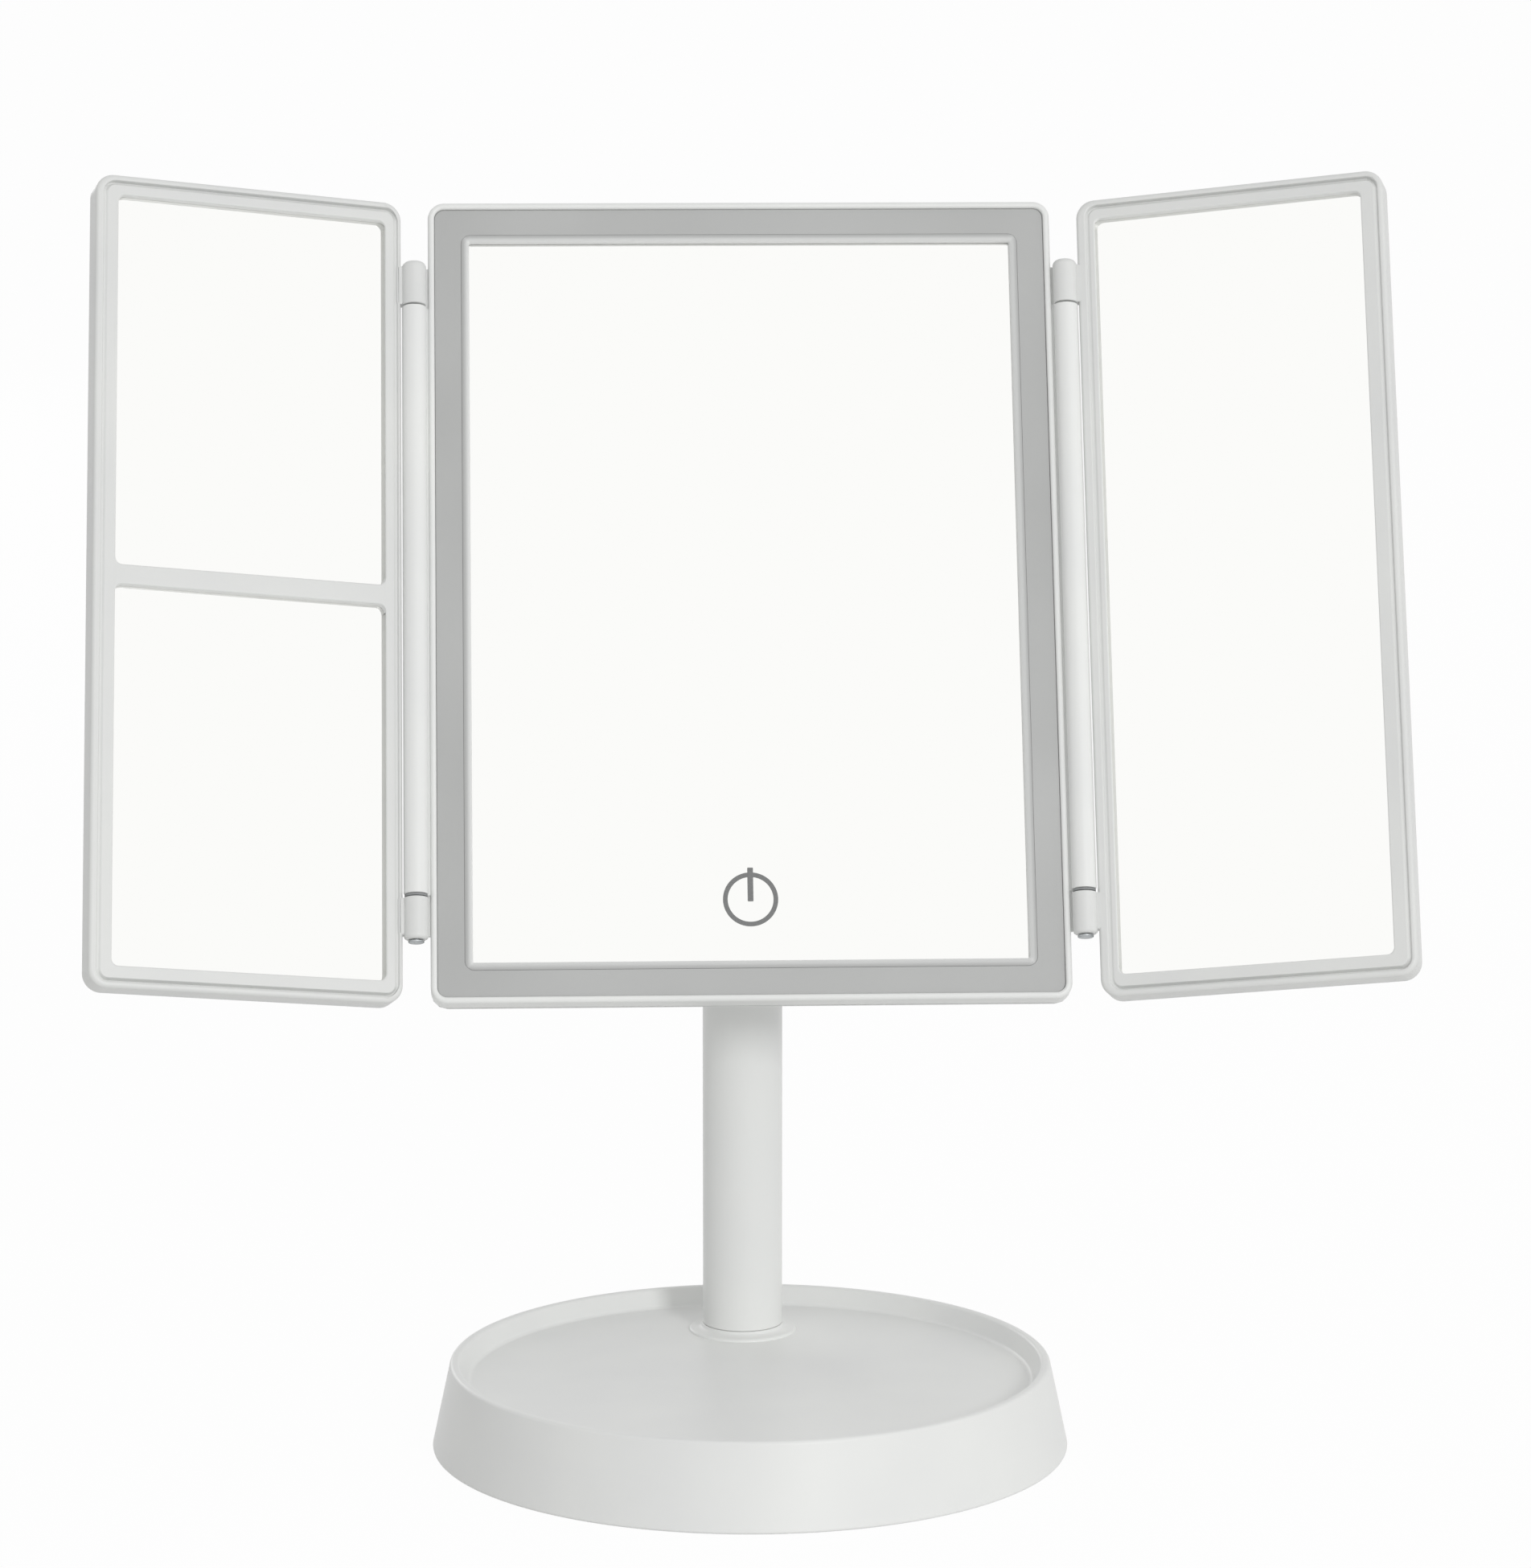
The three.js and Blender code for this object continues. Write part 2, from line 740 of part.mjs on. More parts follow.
function makeBacking() {
  const front = mirrorBack + seatGap;
  const halfWidth = openingHalfWidth + glassMargin();
  const halfHeight = openingHalfHeight + glassMargin();
  const corner = mirrorCornerRadius + glassMargin();
  const sheet = plainPlate(front, front + backingThickness, halfWidth, halfHeight, corner);
  const window = depthRod(
    touchPadRadius + seatGap, mirrorBack, frameDepth + cutOvershoot, 0, -touchIconDrop, tubeSteps,
  );
  return sheet.subtract(window);
}

function makeTouchPad() {
  const front = mirrorBack + seatGap;
  return depthRod(touchPadRadius, front, front + backingThickness, 0, -touchIconDrop, tubeSteps);
}

// A strip with a row of lights on its front face, along X or along Z
function makeLedBoard(halfLength, upright) {
  const back = frameDepth;
  const front = back - ledBoardThickness;
  const halfWidth = ledBoardWidth / 2;
  const strip = (length, width, near, far, along) => (upright
    ? block([-width, near, along - length], [width, far, along + length])
    : block([along - length, near, -width], [along + length, far, width]));
  let board = strip(halfLength, halfWidth, front, back, 0);
  const count = Math.floor((2 * halfLength - ledSize) / ledPitch) + 1;
  for (let index = 0; index < count; index += 1) {
    const along = (index - (count - 1) / 2) * ledPitch;
    board = board.add(strip(ledSize / 2, ledSize / 2, front - ledHeight, back, along));
  }
  return board;
}

// Rear cover

function doorwayCutter(margin, front) {
  return plainPlate(
    front, housingBack + cutOvershoot,
    pocketHalfWidth + margin, pocketHalfHeight + margin,
    margin > 0 ? doorCornerRadius : pocketCornerRadius,
  ).translate([0, 0, housingMiddle]);
}

function makeHousingBody() {
  const layers = [
    [-housingDraft, backPlateBack - backPlateThickness / 2],
    ...eased([0, housingBack], backward, inward, housingEdgeRound),
  ];
  return loftedPlate(layers, housingHalfWidth, housingHalfHeight, housingCornerRadius)
    .translate([0, 0, housingMiddle]);
}

function electronicsPocket(side) {
  return plainPlate(
    backPlateFront - cutOvershoot, electronicsBack,
    electronicsWidth / 2, electronicsHeight / 2, pocketCornerRadius,
  ).translate([side * sideCentre, 0, housingMiddle]);
}

function makeEar(side) {
  const root = backPlateBack - backPlateThickness / 2;
  const distance = Math.hypot(pivotDepth - root, earRootHalf);
  const bearing = Math.atan2(earRootHalf, root - pivotDepth);
  const start = bearing - Math.acos(earTipRadius / distance);
  const shape = new THREE.Shape();
  shape.moveTo(root, -earRootHalf);
  shape.absarc(pivotDepth, 0, earTipRadius, -start, start, false);
  shape.lineTo(root, earRootHalf);
  shape.closePath();
  return acrossX(shape, earThickness).translate([side * earMiddle(), 0, 0]);
}

function earMiddle() {
  return headLugWidth / 2 + washerThickness + 2 * seatGap + earThickness / 2;
}

function makeBackCover() {
  const layers = [
    [0, backPlateFront],
    ...eased([0, backPlateBack], backward, inward, backPlateRound),
  ];
  const padHalfWidth = earMiddle() + earThickness / 2 + hingePadMargin;
  const padLayers = [
    [-hingePadHeight, backPlateBack - backPlateThickness / 2],
    [0, backPlateBack + hingePadHeight],
  ];
  const pad = loftedPlate(padLayers, padHalfWidth, earRootHalf - hingePadHeight, hingePadMargin);
  let cover = loftedPlate(layers, frameHalfWidth, frameHalfHeight, frameCornerRadius)
    .add(makeHousingBody())
    .add(pad)
    .add(makeEar(-1))
    .add(makeEar(1));
  const holeReach = earMiddle() + earThickness;
  cover = cover
    .subtract(doorwayCutter(0, pocketFloor))
    .subtract(doorwayCutter(doorLedge, doorFront - seatGap))
    .subtract(electronicsPocket(-1))
    .subtract(electronicsPocket(1))
    .subtract(crossRod(axleRadius + seatGap, -holeReach, holeReach).translate([0, pivotDepth, 0]));
  [-1, 1].forEach((side) => {
    cover = cover.subtract(doorTab(side, seatGap));
  });
  framePlaces().forEach(([x, z]) => {
    cover = cover
      .subtract(depthRod(backScrewRadius + seatGap, frameDepth, backPlateBack, x, z))
      .subtract(depthRod(
        backScrewHeadRadius + seatGap, backPlateBack - backScrewHeadHeight - seatGap,
        backPlateBack + cutOvershoot, x, z,
      ));
  });
  boardPostPlaces().forEach(([x, z]) => {
    const front = electronicsBack - boardPostHeight;
    cover = cover.add(depthRod(boardPostRadius, front, electronicsBack + seatGap, x, z));
  });
  return cover.subtract(socketCutter()).subtract(switchSlot());
}

// A locating tab on the lower edge of the door, let into the ledge of the battery bay
function doorTab(side, clearance) {
  const x = side * (pocketHalfWidth - doorTabWidth);
  const bottom = housingMiddle - doorHalfHeight + doorTabDrop;
  const halfWidth = doorTabWidth / 2 + clearance;
  return block(
    [x - halfWidth, doorFront - doorTabReach - clearance, bottom - clearance],
    [x + halfWidth, doorFront + doorThickness / 2, bottom + doorLedge / 2 + clearance],
  );
}

function makeDoor() {
  const layers = [
    [0, doorFront],
    ...eased([0, housingBack], backward, inward, doorEdgeRound, 1),
  ];
  let door = loftedPlate(layers, doorHalfWidth, doorHalfHeight, doorCornerRadius - seatGap)
    .translate([0, 0, housingMiddle]);
  [-1, 1].forEach((side) => {
    door = door.add(doorTab(side, 0));
  });
  const ribTop = housingMiddle + doorHalfHeight - gripRibInset;
  for (let index = 0; index < gripRibCount; index += 1) {
    const z = ribTop - index * gripRibPitch;
    const halfLength = gripRibLength / 2 - index * gripRibHeight * 2;
    door = door.add(block(
      [-halfLength, housingBack - doorEdgeRound, z - gripRibHalfWidth],
      [halfLength, housingBack + gripRibHeight, z + gripRibHalfWidth],
    ));
  }
  const notchRadius = gripRibLength / 2;
  const notch = depthRod(
    notchRadius, housingBack - doorThickness / 2, housingBack + cutOvershoot,
    0, housingMiddle + doorHalfHeight + notchRadius - doorNotchDepth, tubeSteps,
  );
  return door.subtract(notch);
}

// Cells and their contacts

function cellX(index) {
  return (index - (cellCount - 1) / 2) * cellPitch;
}

function cellPointsUp(index) {
  return index % 2 === 0;
}

function cellDepth() {
  return pocketFloor + seatGap + cellRadius;
}

function makeCell(index) {
  const shoulder = cellLength - cellButtonHeight;
  const solid = turned([
    [0, 0],
    ...eased([cellRadius, 0], rightward, upward, cellEdgeRound, 1),
    ...eased([cellRadius, shoulder], upward, leftward, cellEdgeRound, 1),
    [cellButtonRadius, shoulder],
    [cellButtonRadius, cellLength],
    [0, cellLength],
  ], cellSteps);
  const start = seatGap + contactThickness + springHeight + seatGap - pocketHalfHeight;
  const placed = solid.translate([0, 0, start]);
  const turnedRight = cellPointsUp(index) ? placed : placed.rotate([180, 0, 0]);
  return turnedRight.translate([cellX(index), cellDepth(), housingMiddle]);
}

class SpringCurve extends THREE.Curve {
  getPoint(share, target = new THREE.Vector3()) {
    const angle = share * springTurns * 2 * Math.PI;
    const radius = springBaseRadius + (springTipRadius - springBaseRadius) * share;
    const rise = (springHeight - springWireRadius) * share;
    return target.set(radius * Math.cos(angle), radius * Math.sin(angle), rise);
  }
}

// A conical spring standing up from the origin along +Z
function makeSpring() {
  const wire = new THREE.Shape();
  for (let side = 0; side < springSides; side += 1) {
    const angle = side * 2 * Math.PI / springSides;
    const x = springWireRadius * Math.cos(angle);
    const y = springWireRadius * Math.sin(angle);
    if (side === 0) {
      wire.moveTo(x, y);
    } else {
      wire.lineTo(x, y);
    }
  }
  wire.closePath();
  const geometry = new THREE.ExtrudeGeometry(wire, {
    steps: Math.ceil(springTurns * springStepsPerTurn),
    bevelEnabled: false,
    extrudePath: new SpringCurve(),
  });
  return solidFrom(geometry);
}

// A contact plate under one end of the cells listed, with a spring at each negative end
function makeContact(cells, atTop) {
  const left = cellX(Math.min(...cells)) - contactWidth / 2;
  const right = cellX(Math.max(...cells)) + contactWidth / 2;
  let contact = block(
    [left, -contactWidth / 2, 0],
    [right, contactWidth / 2, contactThickness],
  );
  cells.filter((index) => cellPointsUp(index) !== atTop).forEach((index) => {
    contact = contact.add(makeSpring().translate([cellX(index), 0, contactThickness]));
  });
  const facing = atTop ? contact.rotate([180, 0, 0]) : contact;
  const end = (atTop ? 1 : -1) * (pocketHalfHeight - seatGap);
  return facing.translate([0, cellDepth(), housingMiddle + end]);
}

function contactGroups() {
  const top = [];
  for (let index = 0; index < cellCount; index += 2) {
    top.push([index, Math.min(index + 1, cellCount - 1)]);
  }
  const bottom = [[0]];
  for (let index = 1; index < cellCount; index += 2) {
    bottom.push(index + 1 < cellCount ? [index, index + 1] : [index]);
  }
  return [
    ...top.map((cells) => ({ cells, atTop: true })),
    ...bottom.map((cells) => ({ cells, atTop: false })),
  ];
}

// Circuit board, charging socket and master switch

function boardBack() {
  return electronicsBack - boardPostHeight - seatGap;
}

function boardPostPlaces() {
  const rise = electronicsHeight / 2 - boardPostInset;
  return [[-sideCentre, housingMiddle - rise], [-sideCentre, housingMiddle + rise]];
}

function makeControlBoard() {
  const back = boardBack();
  const front = back - boardThickness;
  const halfWidth = electronicsWidth / 2 - 2 * seatGap;
  const halfHeight = electronicsHeight / 2 - 2 * seatGap;
  const chip = block(
    [-chipHalfWidth, front - boardThickness, chipRise - chipHalfLength],
    [chipHalfWidth, back, chipRise + chipHalfLength],
  );
  const coil = block(
    [-coilHalfSize, front - boardThickness, -coilDrop - coilHalfSize],
    [coilHalfSize, back, -coilDrop + coilHalfSize],
  );
  return plainPlate(front, back, halfWidth, halfHeight, boardCornerRadius)
    .add(chip).add(coil).translate([-sideCentre, 0, housingMiddle]);
}

// The socket opens to the left through the side wall of the housing
function socketPlace() {
  const back = boardBack() - boardThickness - seatGap;
  const wallFace = housingHalfWidth - housingWall;
  return { back, front: back - socketHeight, inner: -(wallFace - socketLength), outer: -wallFace };
}

function makeSocket() {
  const { back, front, inner, outer } = socketPlace();
  const reach = housingWall / 2;
  const shell = plainPlate(
    0, socketLength + reach, socketHeight / 2, socketWidth / 2, socketCornerRadius,
  );
  const hollow = plainPlate(
    -cutOvershoot, socketLength + reach - socketWall,
    socketHeight / 2 - socketWall, socketWidth / 2 - socketWall, socketCornerRadius,
  );
  const tongue = plainPlate(
    reach, socketLength + reach - socketWall / 2,
    tongueHalfHeight, tongueHalfWidth, tongueHalfHeight / 2,
  );
  return shell.subtract(hollow).add(tongue).rotate([0, 0, -90])
    .translate([outer - reach, (front + back) / 2, housingMiddle]);
}

function socketCutter() {
  const { back, front } = socketPlace();
  const reach = housingWall + housingDraft + cutOvershoot;
  const shape = plainPlate(
    0, 2 * reach, (back - front) / 2 + seatGap, socketWidth / 2 + seatGap, socketCornerRadius,
  );
  return shape.rotate([0, 0, -90])
    .translate([-(housingHalfWidth + reach), (front + back) / 2, housingMiddle]);
}

function switchSlot() {
  const half = knobWidth / 2 + seatGap;
  const low = -knobLength / 2 - seatGap;
  const high = knobLength / 2 + switchTravel + seatGap;
  return block([-half, electronicsBack - cutOvershoot, low], [half, housingBack + cutOvershoot, high])
    .translate([sideCentre, 0, housingMiddle - switchTravel / 2]);
}

function makeKnob() {
  const front = electronicsBack + seatGap;
  const layers = [
    [0, front],
    ...eased([0, housingBack + knobProud], backward, inward, knobEdge, 1),
  ];
  let knob = loftedPlate(layers, knobWidth / 2, knobLength / 2, knobEdge);
  [-1, 0, 1].forEach((step) => {
    const z = step * knobGroovePitch;
    knob = knob.subtract(block(
      [-knobWidth, housingBack + knobProud - knobEdge, z - knobGroove / 2],
      [knobWidth, housingBack + knobProud + cutOvershoot, z + knobGroove / 2],
    ));
  });
  return knob.translate([sideCentre, 0, housingMiddle - switchTravel / 2]);
}

function makeSwitchCan() {
  const back = electronicsBack - seatGap;
  return plainPlate(
    back - switchCanHeight, back, switchCanWidth / 2, switchCanLength / 2, seatGap,
  ).translate([sideCentre, 0, housingMiddle]);
}

// Fasteners of the panel

function makeBackScrew() {
  const head = backPlateBack - backScrewHeadHeight;
  const tip = ledgeDepth + 2 * seatGap;
  const profile = [
    [0, -backPlateBack],
    ...eased([backScrewHeadRadius, -backPlateBack], rightward, upward, backScrewHeadRound, 1),
    [backScrewHeadRadius, -head],
    [backScrewRadius, -head],
    [backScrewRadius, -tip],
    [0, -tip],
  ];
  return turned(profile, smallSteps).rotate([90, 0, 0]);
}

// The upper pin ends inside its domed knuckle, and the lower one goes through to a flat head
function makeHingePin(upper) {
  const tip = barrelHalfLength - pinInBarrel;
  const knuckleEnd = knuckleSpan(upper)[1];
  if (upper) {
    return rod(pinRadius, tip, knuckleEnd - knuckleDome - seatGap).translate([0, 0, -barrelDrop]);
  }
  const seat = knuckleEnd + seatGap;
  const end = seat + pinHeadHeight;
  const pin = turned([
    [0, tip],
    [pinRadius, tip],
    [pinRadius, seat],
    [pinHeadRadius, seat],
    ...eased([pinHeadRadius, end], upward, leftward, pinHeadHeight / 2),
    [0, end],
  ], cellSteps);
  return pin.rotate([180, 0, 0]).translate([0, 0, -barrelDrop]);
}

// Where a knuckle starts and ends, outwards from the barrel's middle
function knuckleSpan(upper) {
  const start = barrelHalfLength + (upper ? knuckleGap : lowerKnuckleGap);
  return [start, start + (upper ? knuckleLength : lowerKnuckleLength)];
}

function makeAxle() {
  const outer = earMiddle() + earThickness / 2 + seatGap;
  const profile = [
    [0, -outer - axleHeadHeight],
    ...eased([axleHeadRadius, -outer - axleHeadHeight], rightward, upward, axleHeadRound),
    [axleHeadRadius, -outer],
    [axleRadius, -outer],
    [axleRadius, outer + nutHeight + seatGap],
    [0, outer + nutHeight + seatGap],
  ];
  return turned(profile, tubeSteps).rotate([0, 90, 0]).translate([0, pivotDepth, 0]);
}

function makeNut() {
  const inner = earMiddle() + earThickness / 2 + seatGap;
  const body = crossRod(axleHeadRadius, inner, inner + nutHeight, nutSides);
  const hole = crossRod(axleRadius + seatGap, inner - cutOvershoot, inner + nutHeight + cutOvershoot);
  return body.subtract(hole).translate([0, pivotDepth, 0]);
}

function makeWasher(side) {
  const middle = side * (headLugWidth / 2 + seatGap + washerThickness / 2);
  const half = washerThickness / 2;
  const hole = crossRod(axleRadius + seatGap, middle - cutOvershoot, middle + cutOvershoot);
  return crossRod(washerRadius, middle - half, middle + half, tubeSteps)
    .subtract(hole).translate([0, pivotDepth, 0]);
}

// Wings, in the frame of their hinge: X runs outwards on the given side

function wingOpenings(split) {
  const halfWidth = wingHalfWidth - wingSideBorder;
  const top = wingHalfHeight - wingTopBorder;
  const bottom = wingBottomBorder - wingHalfHeight;
  const spans = split ? [[dividerWidth / 2, top], [bottom, -dividerWidth / 2]] : [[bottom, top]];
  return spans.map(([low, high]) => (
    { halfWidth, halfHeight: (high - low) / 2, height: (high + low) / 2 }
  ));
}

function wingPlace(side) {
  return [side * (wingMiddle - wingOpeningShift), 0, 0];
}

function wingGlassFront() {
  return wingFieldDrop + wingFaceThickness + seatGap;
}

function wingCoverFront() {
  return wingGlassFront() + mirrorThickness + seatGap;
}

function makeWingFrame(side, split) {
  const layers = [
    ...eased([0, 0], outward, backward, wingRimRound),
    ...eased([0, wingThickness], backward, inward, wingBackRound, 1),
  ];
  let frame = loftedPlate(layers, wingHalfWidth, wingHalfHeight, wingCornerRadius);
  const field = wingRimWidth + wingGrooveWidth;
  const groove = [
    [wingRimWidth, wingFieldDrop + wingGrooveDepth],
    [wingRimWidth - wingGrooveWidth / 2, -cutOvershoot],
    [field + cutOvershoot, -cutOvershoot],
    [field + cutOvershoot, wingFieldDrop],
    [field, wingFieldDrop],
    [field, wingFieldDrop + wingGrooveDepth],
  ];
  const grooveCut = sweptFrame(groove, wingHalfWidth, wingHalfHeight, wingCornerRadius);
  const fieldCut = plainPlate(
    -cutOvershoot, wingFieldDrop, wingHalfWidth - field, wingHalfHeight - field, wingCornerRadius / 2,
  );
  frame = frame.subtract(grooveCut.add(fieldCut).translate([-side * wingGrooveShift, 0, 0]));
  const coverInset = wingCoverMargin - seatGap;
  const coverFront = wingCoverFront() - seatGap;
  frame = frame.subtract(plainPlate(
    coverFront, wingThickness + cutOvershoot,
    wingHalfWidth - coverInset, wingHalfHeight - coverInset, wingCornerRadius / 2,
  ));
  frame = frame.translate([side * wingMiddle, 0, 0]);
  wingOpenings(split).forEach(({ halfWidth, halfHeight, height }) => {
    const [x] = wingPlace(side);
    const opening = loftedPlate([
      [-openingRound, wingFieldDrop - cutOvershoot],
      ...eased([0, wingFieldDrop], inward, backward, openingRound),
      [0, wingThickness],
    ], halfWidth, halfHeight, openingCornerRadius);
    const pocket = plainPlate(
      wingGlassFront() - seatGap, wingThickness,
      halfWidth + wingPocketMargin, halfHeight + paneMargin(split), openingCornerRadius,
    );
    frame = frame.subtract(opening.add(pocket).translate([x, 0, height]));
  });
  const hingeSide = makeKnuckle(side, true).add(makeKnuckle(side, false));
  return frame.translate([0, 0, -wingDrop]).add(hingeSide);
}

// Between two panes the pocket stops at the rib behind the divider
function paneMargin(split) {
  return split ? (dividerWidth - dividerRib) / 2 : wingPocketMargin;
}

function makeKnuckle(side, upper) {
  const [start, end] = knuckleSpan(upper);
  const knuckle = turned([
    [0, start],
    [barrelRadius, start],
    ...eased([barrelRadius, end], upward, leftward, knuckleDome, knuckleDomeSteps),
    [0, end],
  ], tubeSteps);
  const across = side * (wingInner + wingRimWidth);
  const arm = block(
    [Math.min(0, across), 0, start],
    [Math.max(0, across), barrelRadius, end - knuckleDome],
  );
  const boreEnd = upper ? end - knuckleDome : end + cutOvershoot;
  const bore = rod(pinRadius + seatGap, start - cutOvershoot, boreEnd);
  const solid = knuckle.add(arm).subtract(bore);
  const placed = upper ? solid : solid.rotate([0, 180, 0]).mirror([1, 0, 0]);
  return placed.translate([0, 0, -barrelDrop]);
}

function makeWingPane(side, split, index) {
  const { halfWidth, halfHeight, height } = wingOpenings(split)[index];
  const [x] = wingPlace(side);
  return glassPane(
    wingGlassFront(),
    halfWidth + wingPocketMargin - seatGap, halfHeight + paneMargin(split) - seatGap,
    openingCornerRadius - seatGap,
  ).translate([x, 0, height - wingDrop]);
}

function makeWingCover(side) {
  const front = wingCoverFront();
  const back = front + wingCoverThickness;
  const layers = [
    [0, front],
    [0, back - seatGap],
    [seatGap, back],
  ];
  return loftedPlate(
    layers, wingHalfWidth - wingCoverMargin, wingHalfHeight - wingCoverMargin, wingCornerRadius / 2,
  ).translate([side * wingMiddle, 0, -wingDrop]);
}

const mirror = new THREE.Group();

const stand = new THREE.Group();
mirror.add(stand);
addPiece(stand, 'base_shell', makeBaseShell(), whiteAbs);
addPiece(stand, 'base_bottom_cover', makeBottomCover(), whiteAbs);
addPiece(stand, 'base_weight', makeWeight(), zincSteel);
addPiece(stand, 'anti_slip_pad', makePad(), eva);
baseScrewPlaces().forEach(([x, y], index) => {
  addPiece(stand, `base_screw_${index + 1}`, makeBaseScrew().translate([x, y, 0]), zincSteel);
});
const column = new THREE.Group();
column.position.y = stemBehindCentre;
stand.add(column);
addPiece(column, 'stem_tube', makeStemTube(), whiteAbs);
addPiece(column, 'stem_screw', makeStemScrew(), zincSteel);
addPiece(column, 'stem_head', makeStemHead(), whiteAbs);

const tilting = new THREE.Group();
tilting.position.set(0, stemBehindCentre, pivotHeight);
tilting.rotation.x = -panelTilt * degree;
mirror.add(tilting);
const panel = new THREE.Group();
panel.position.y = -pivotDepth;
tilting.add(panel);
addPiece(panel, 'centre_frame', makeCentreFrame(), whiteAbs);
addPiece(panel, 'light_diffuser', makeDiffuser(), opalAcrylic);
addPiece(panel, 'mirror_bezel', makeBezel(), whiteAbs);
const centrePane = glassPane(
  mirrorFront, openingHalfWidth + glassMargin(), openingHalfHeight + glassMargin(),
  mirrorCornerRadius + glassMargin(),
);
addPiece(panel, 'centre_mirror', centrePane, silveredGlass);
addPiece(panel, 'mirror_backing', makeBacking(), eva);
addPiece(panel, 'touch_sensor_pad', makeTouchPad(), springSteel);
const boardInset = frameWall + seatGap + ledBoardWidth / 2;
const boardHalfAcross = frameHalfWidth - boardInset;
const boardHalfUp = frameHalfHeight - boardInset;
const ledBoards = [
  ['led_board_top', false, 0, boardHalfUp],
  ['led_board_bottom', false, 0, -boardHalfUp],
  ['led_board_left', true, -boardHalfAcross, 0],
  ['led_board_right', true, boardHalfAcross, 0],
];
ledBoards.forEach(([name, upright, x, z]) => {
  const halfLength = (upright ? frameHalfHeight : frameHalfWidth) - ledBoardEndMargin;
  addPiece(panel, name, makeLedBoard(halfLength, upright).translate([x, 0, z]), boardGreen);
});
addPiece(panel, 'back_cover', makeBackCover(), whiteAbs);
framePlaces().forEach(([x, z], index) => {
  addPiece(panel, `back_screw_${index + 1}`, makeBackScrew().translate([x, 0, z]), zincSteel);
});
for (let index = 0; index < cellCount; index += 1) {
  addPiece(panel, `battery_${index + 1}`, makeCell(index), cellSleeve);
}
contactGroups().forEach(({ cells, atTop }, index) => {
  addPiece(panel, `battery_contact_${index + 1}`, makeContact(cells, atTop), springSteel);
});
addPiece(panel, 'control_board', makeControlBoard(), circuitGreen);
addPiece(panel, 'charging_socket', makeSocket(), steel);
addPiece(panel, 'switch_can', makeSwitchCan(), steel);
addPiece(panel, 'tilt_axle', makeAxle(), steel);
addPiece(panel, 'tilt_nut', makeNut(), steel);
addPiece(panel, 'tilt_washer_left', makeWasher(-1), blackNylon);
addPiece(panel, 'tilt_washer_right', makeWasher(1), blackNylon);
addPiece(panel, 'battery_door', makeDoor(), whiteAbs);
addPiece(panel, 'power_switch', makeKnob(), blackNylon);

const wings = [
  ['left', -1, leftWingAngle, ['upper', 'lower']],
  ['right', 1, rightWingAngle, ['long']],
];
wings.forEach(([name, side, angle, panes]) => {
  const hinge = new THREE.Group();
  hinge.position.set(side * hingeX, -foldGap, 0);
  panel.add(hinge);
  addPiece(hinge, `${name}_hinge_pin_upper`, makeHingePin(true), steel);
  addPiece(hinge, `${name}_hinge_pin_lower`, makeHingePin(false), steel);
  const wing = new THREE.Group();
  wing.rotation.z = -side * angle * degree;
  hinge.add(wing);
  const split = panes.length > 1;
  addPiece(wing, `${name}_wing_frame`, makeWingFrame(side, split), whiteAbs);
  panes.forEach((pane, index) => {
    addPiece(wing, `${name}_${pane}_mirror`, makeWingPane(side, split, index), silveredGlass);
  });
  addPiece(wing, `${name}_wing_back`, makeWingCover(side), whiteAbs);
});

export default mirror;
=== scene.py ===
# Tabletop makeup mirror: the finish and fine shape of each piece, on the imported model.
# Lengths in the settings are millimetres, and meshes are written in metres.
import json
import math

import bmesh
import bpy
import numpy as np
from mathutils import Matrix


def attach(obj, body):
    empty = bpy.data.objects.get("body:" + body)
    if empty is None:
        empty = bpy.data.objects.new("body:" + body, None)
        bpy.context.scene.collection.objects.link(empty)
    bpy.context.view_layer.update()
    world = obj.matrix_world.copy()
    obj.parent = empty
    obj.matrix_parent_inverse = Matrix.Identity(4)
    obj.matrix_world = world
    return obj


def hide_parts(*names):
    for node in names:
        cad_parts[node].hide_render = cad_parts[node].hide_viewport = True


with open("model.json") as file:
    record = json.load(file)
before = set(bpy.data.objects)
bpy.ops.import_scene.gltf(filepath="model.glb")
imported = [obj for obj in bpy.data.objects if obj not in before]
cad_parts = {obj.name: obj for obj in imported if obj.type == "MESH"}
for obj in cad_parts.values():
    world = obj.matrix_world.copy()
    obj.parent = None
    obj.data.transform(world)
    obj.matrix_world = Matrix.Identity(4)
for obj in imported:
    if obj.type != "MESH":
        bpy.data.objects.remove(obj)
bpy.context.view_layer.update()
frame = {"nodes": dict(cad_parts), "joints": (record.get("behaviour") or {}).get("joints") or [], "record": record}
nodes = frame["nodes"]
joints = {joint["name"]: joint for joint in frame["joints"]}
mm = 0.001


# Places: an origin and three axes, across (x), back (y) and up (z)

def makePlace(origin, across, back, up):
    return {"origin": np.array(origin, float), "axes": np.array([across, back, up], float)}


def toWorld(place, points):
    # each point is the origin plus its three millimetre values along the three axes
    return place["origin"] + np.asarray(points, float) * mm @ place["axes"]


def toLocal(place, points):
    return (np.asarray(points, float) - place["origin"]) @ place["axes"].T / mm


def nodePoints(name):
    mesh = nodes[name].data
    points = np.zeros(len(mesh.vertices) * 3)
    mesh.vertices.foreach_get("co", points)
    return points.reshape(-1, 3)


def localBox(name, place):
    # lowest and highest corner of a node along a place's own axes, in millimetres
    points = toLocal(place, nodePoints(name))
    return points.min(0), points.max(0)


def mountHeight(name):
    mount = [m for m in frame["record"]["mounts"] if m["name"] == name][0]
    return mount["pos_m"][2] / mm


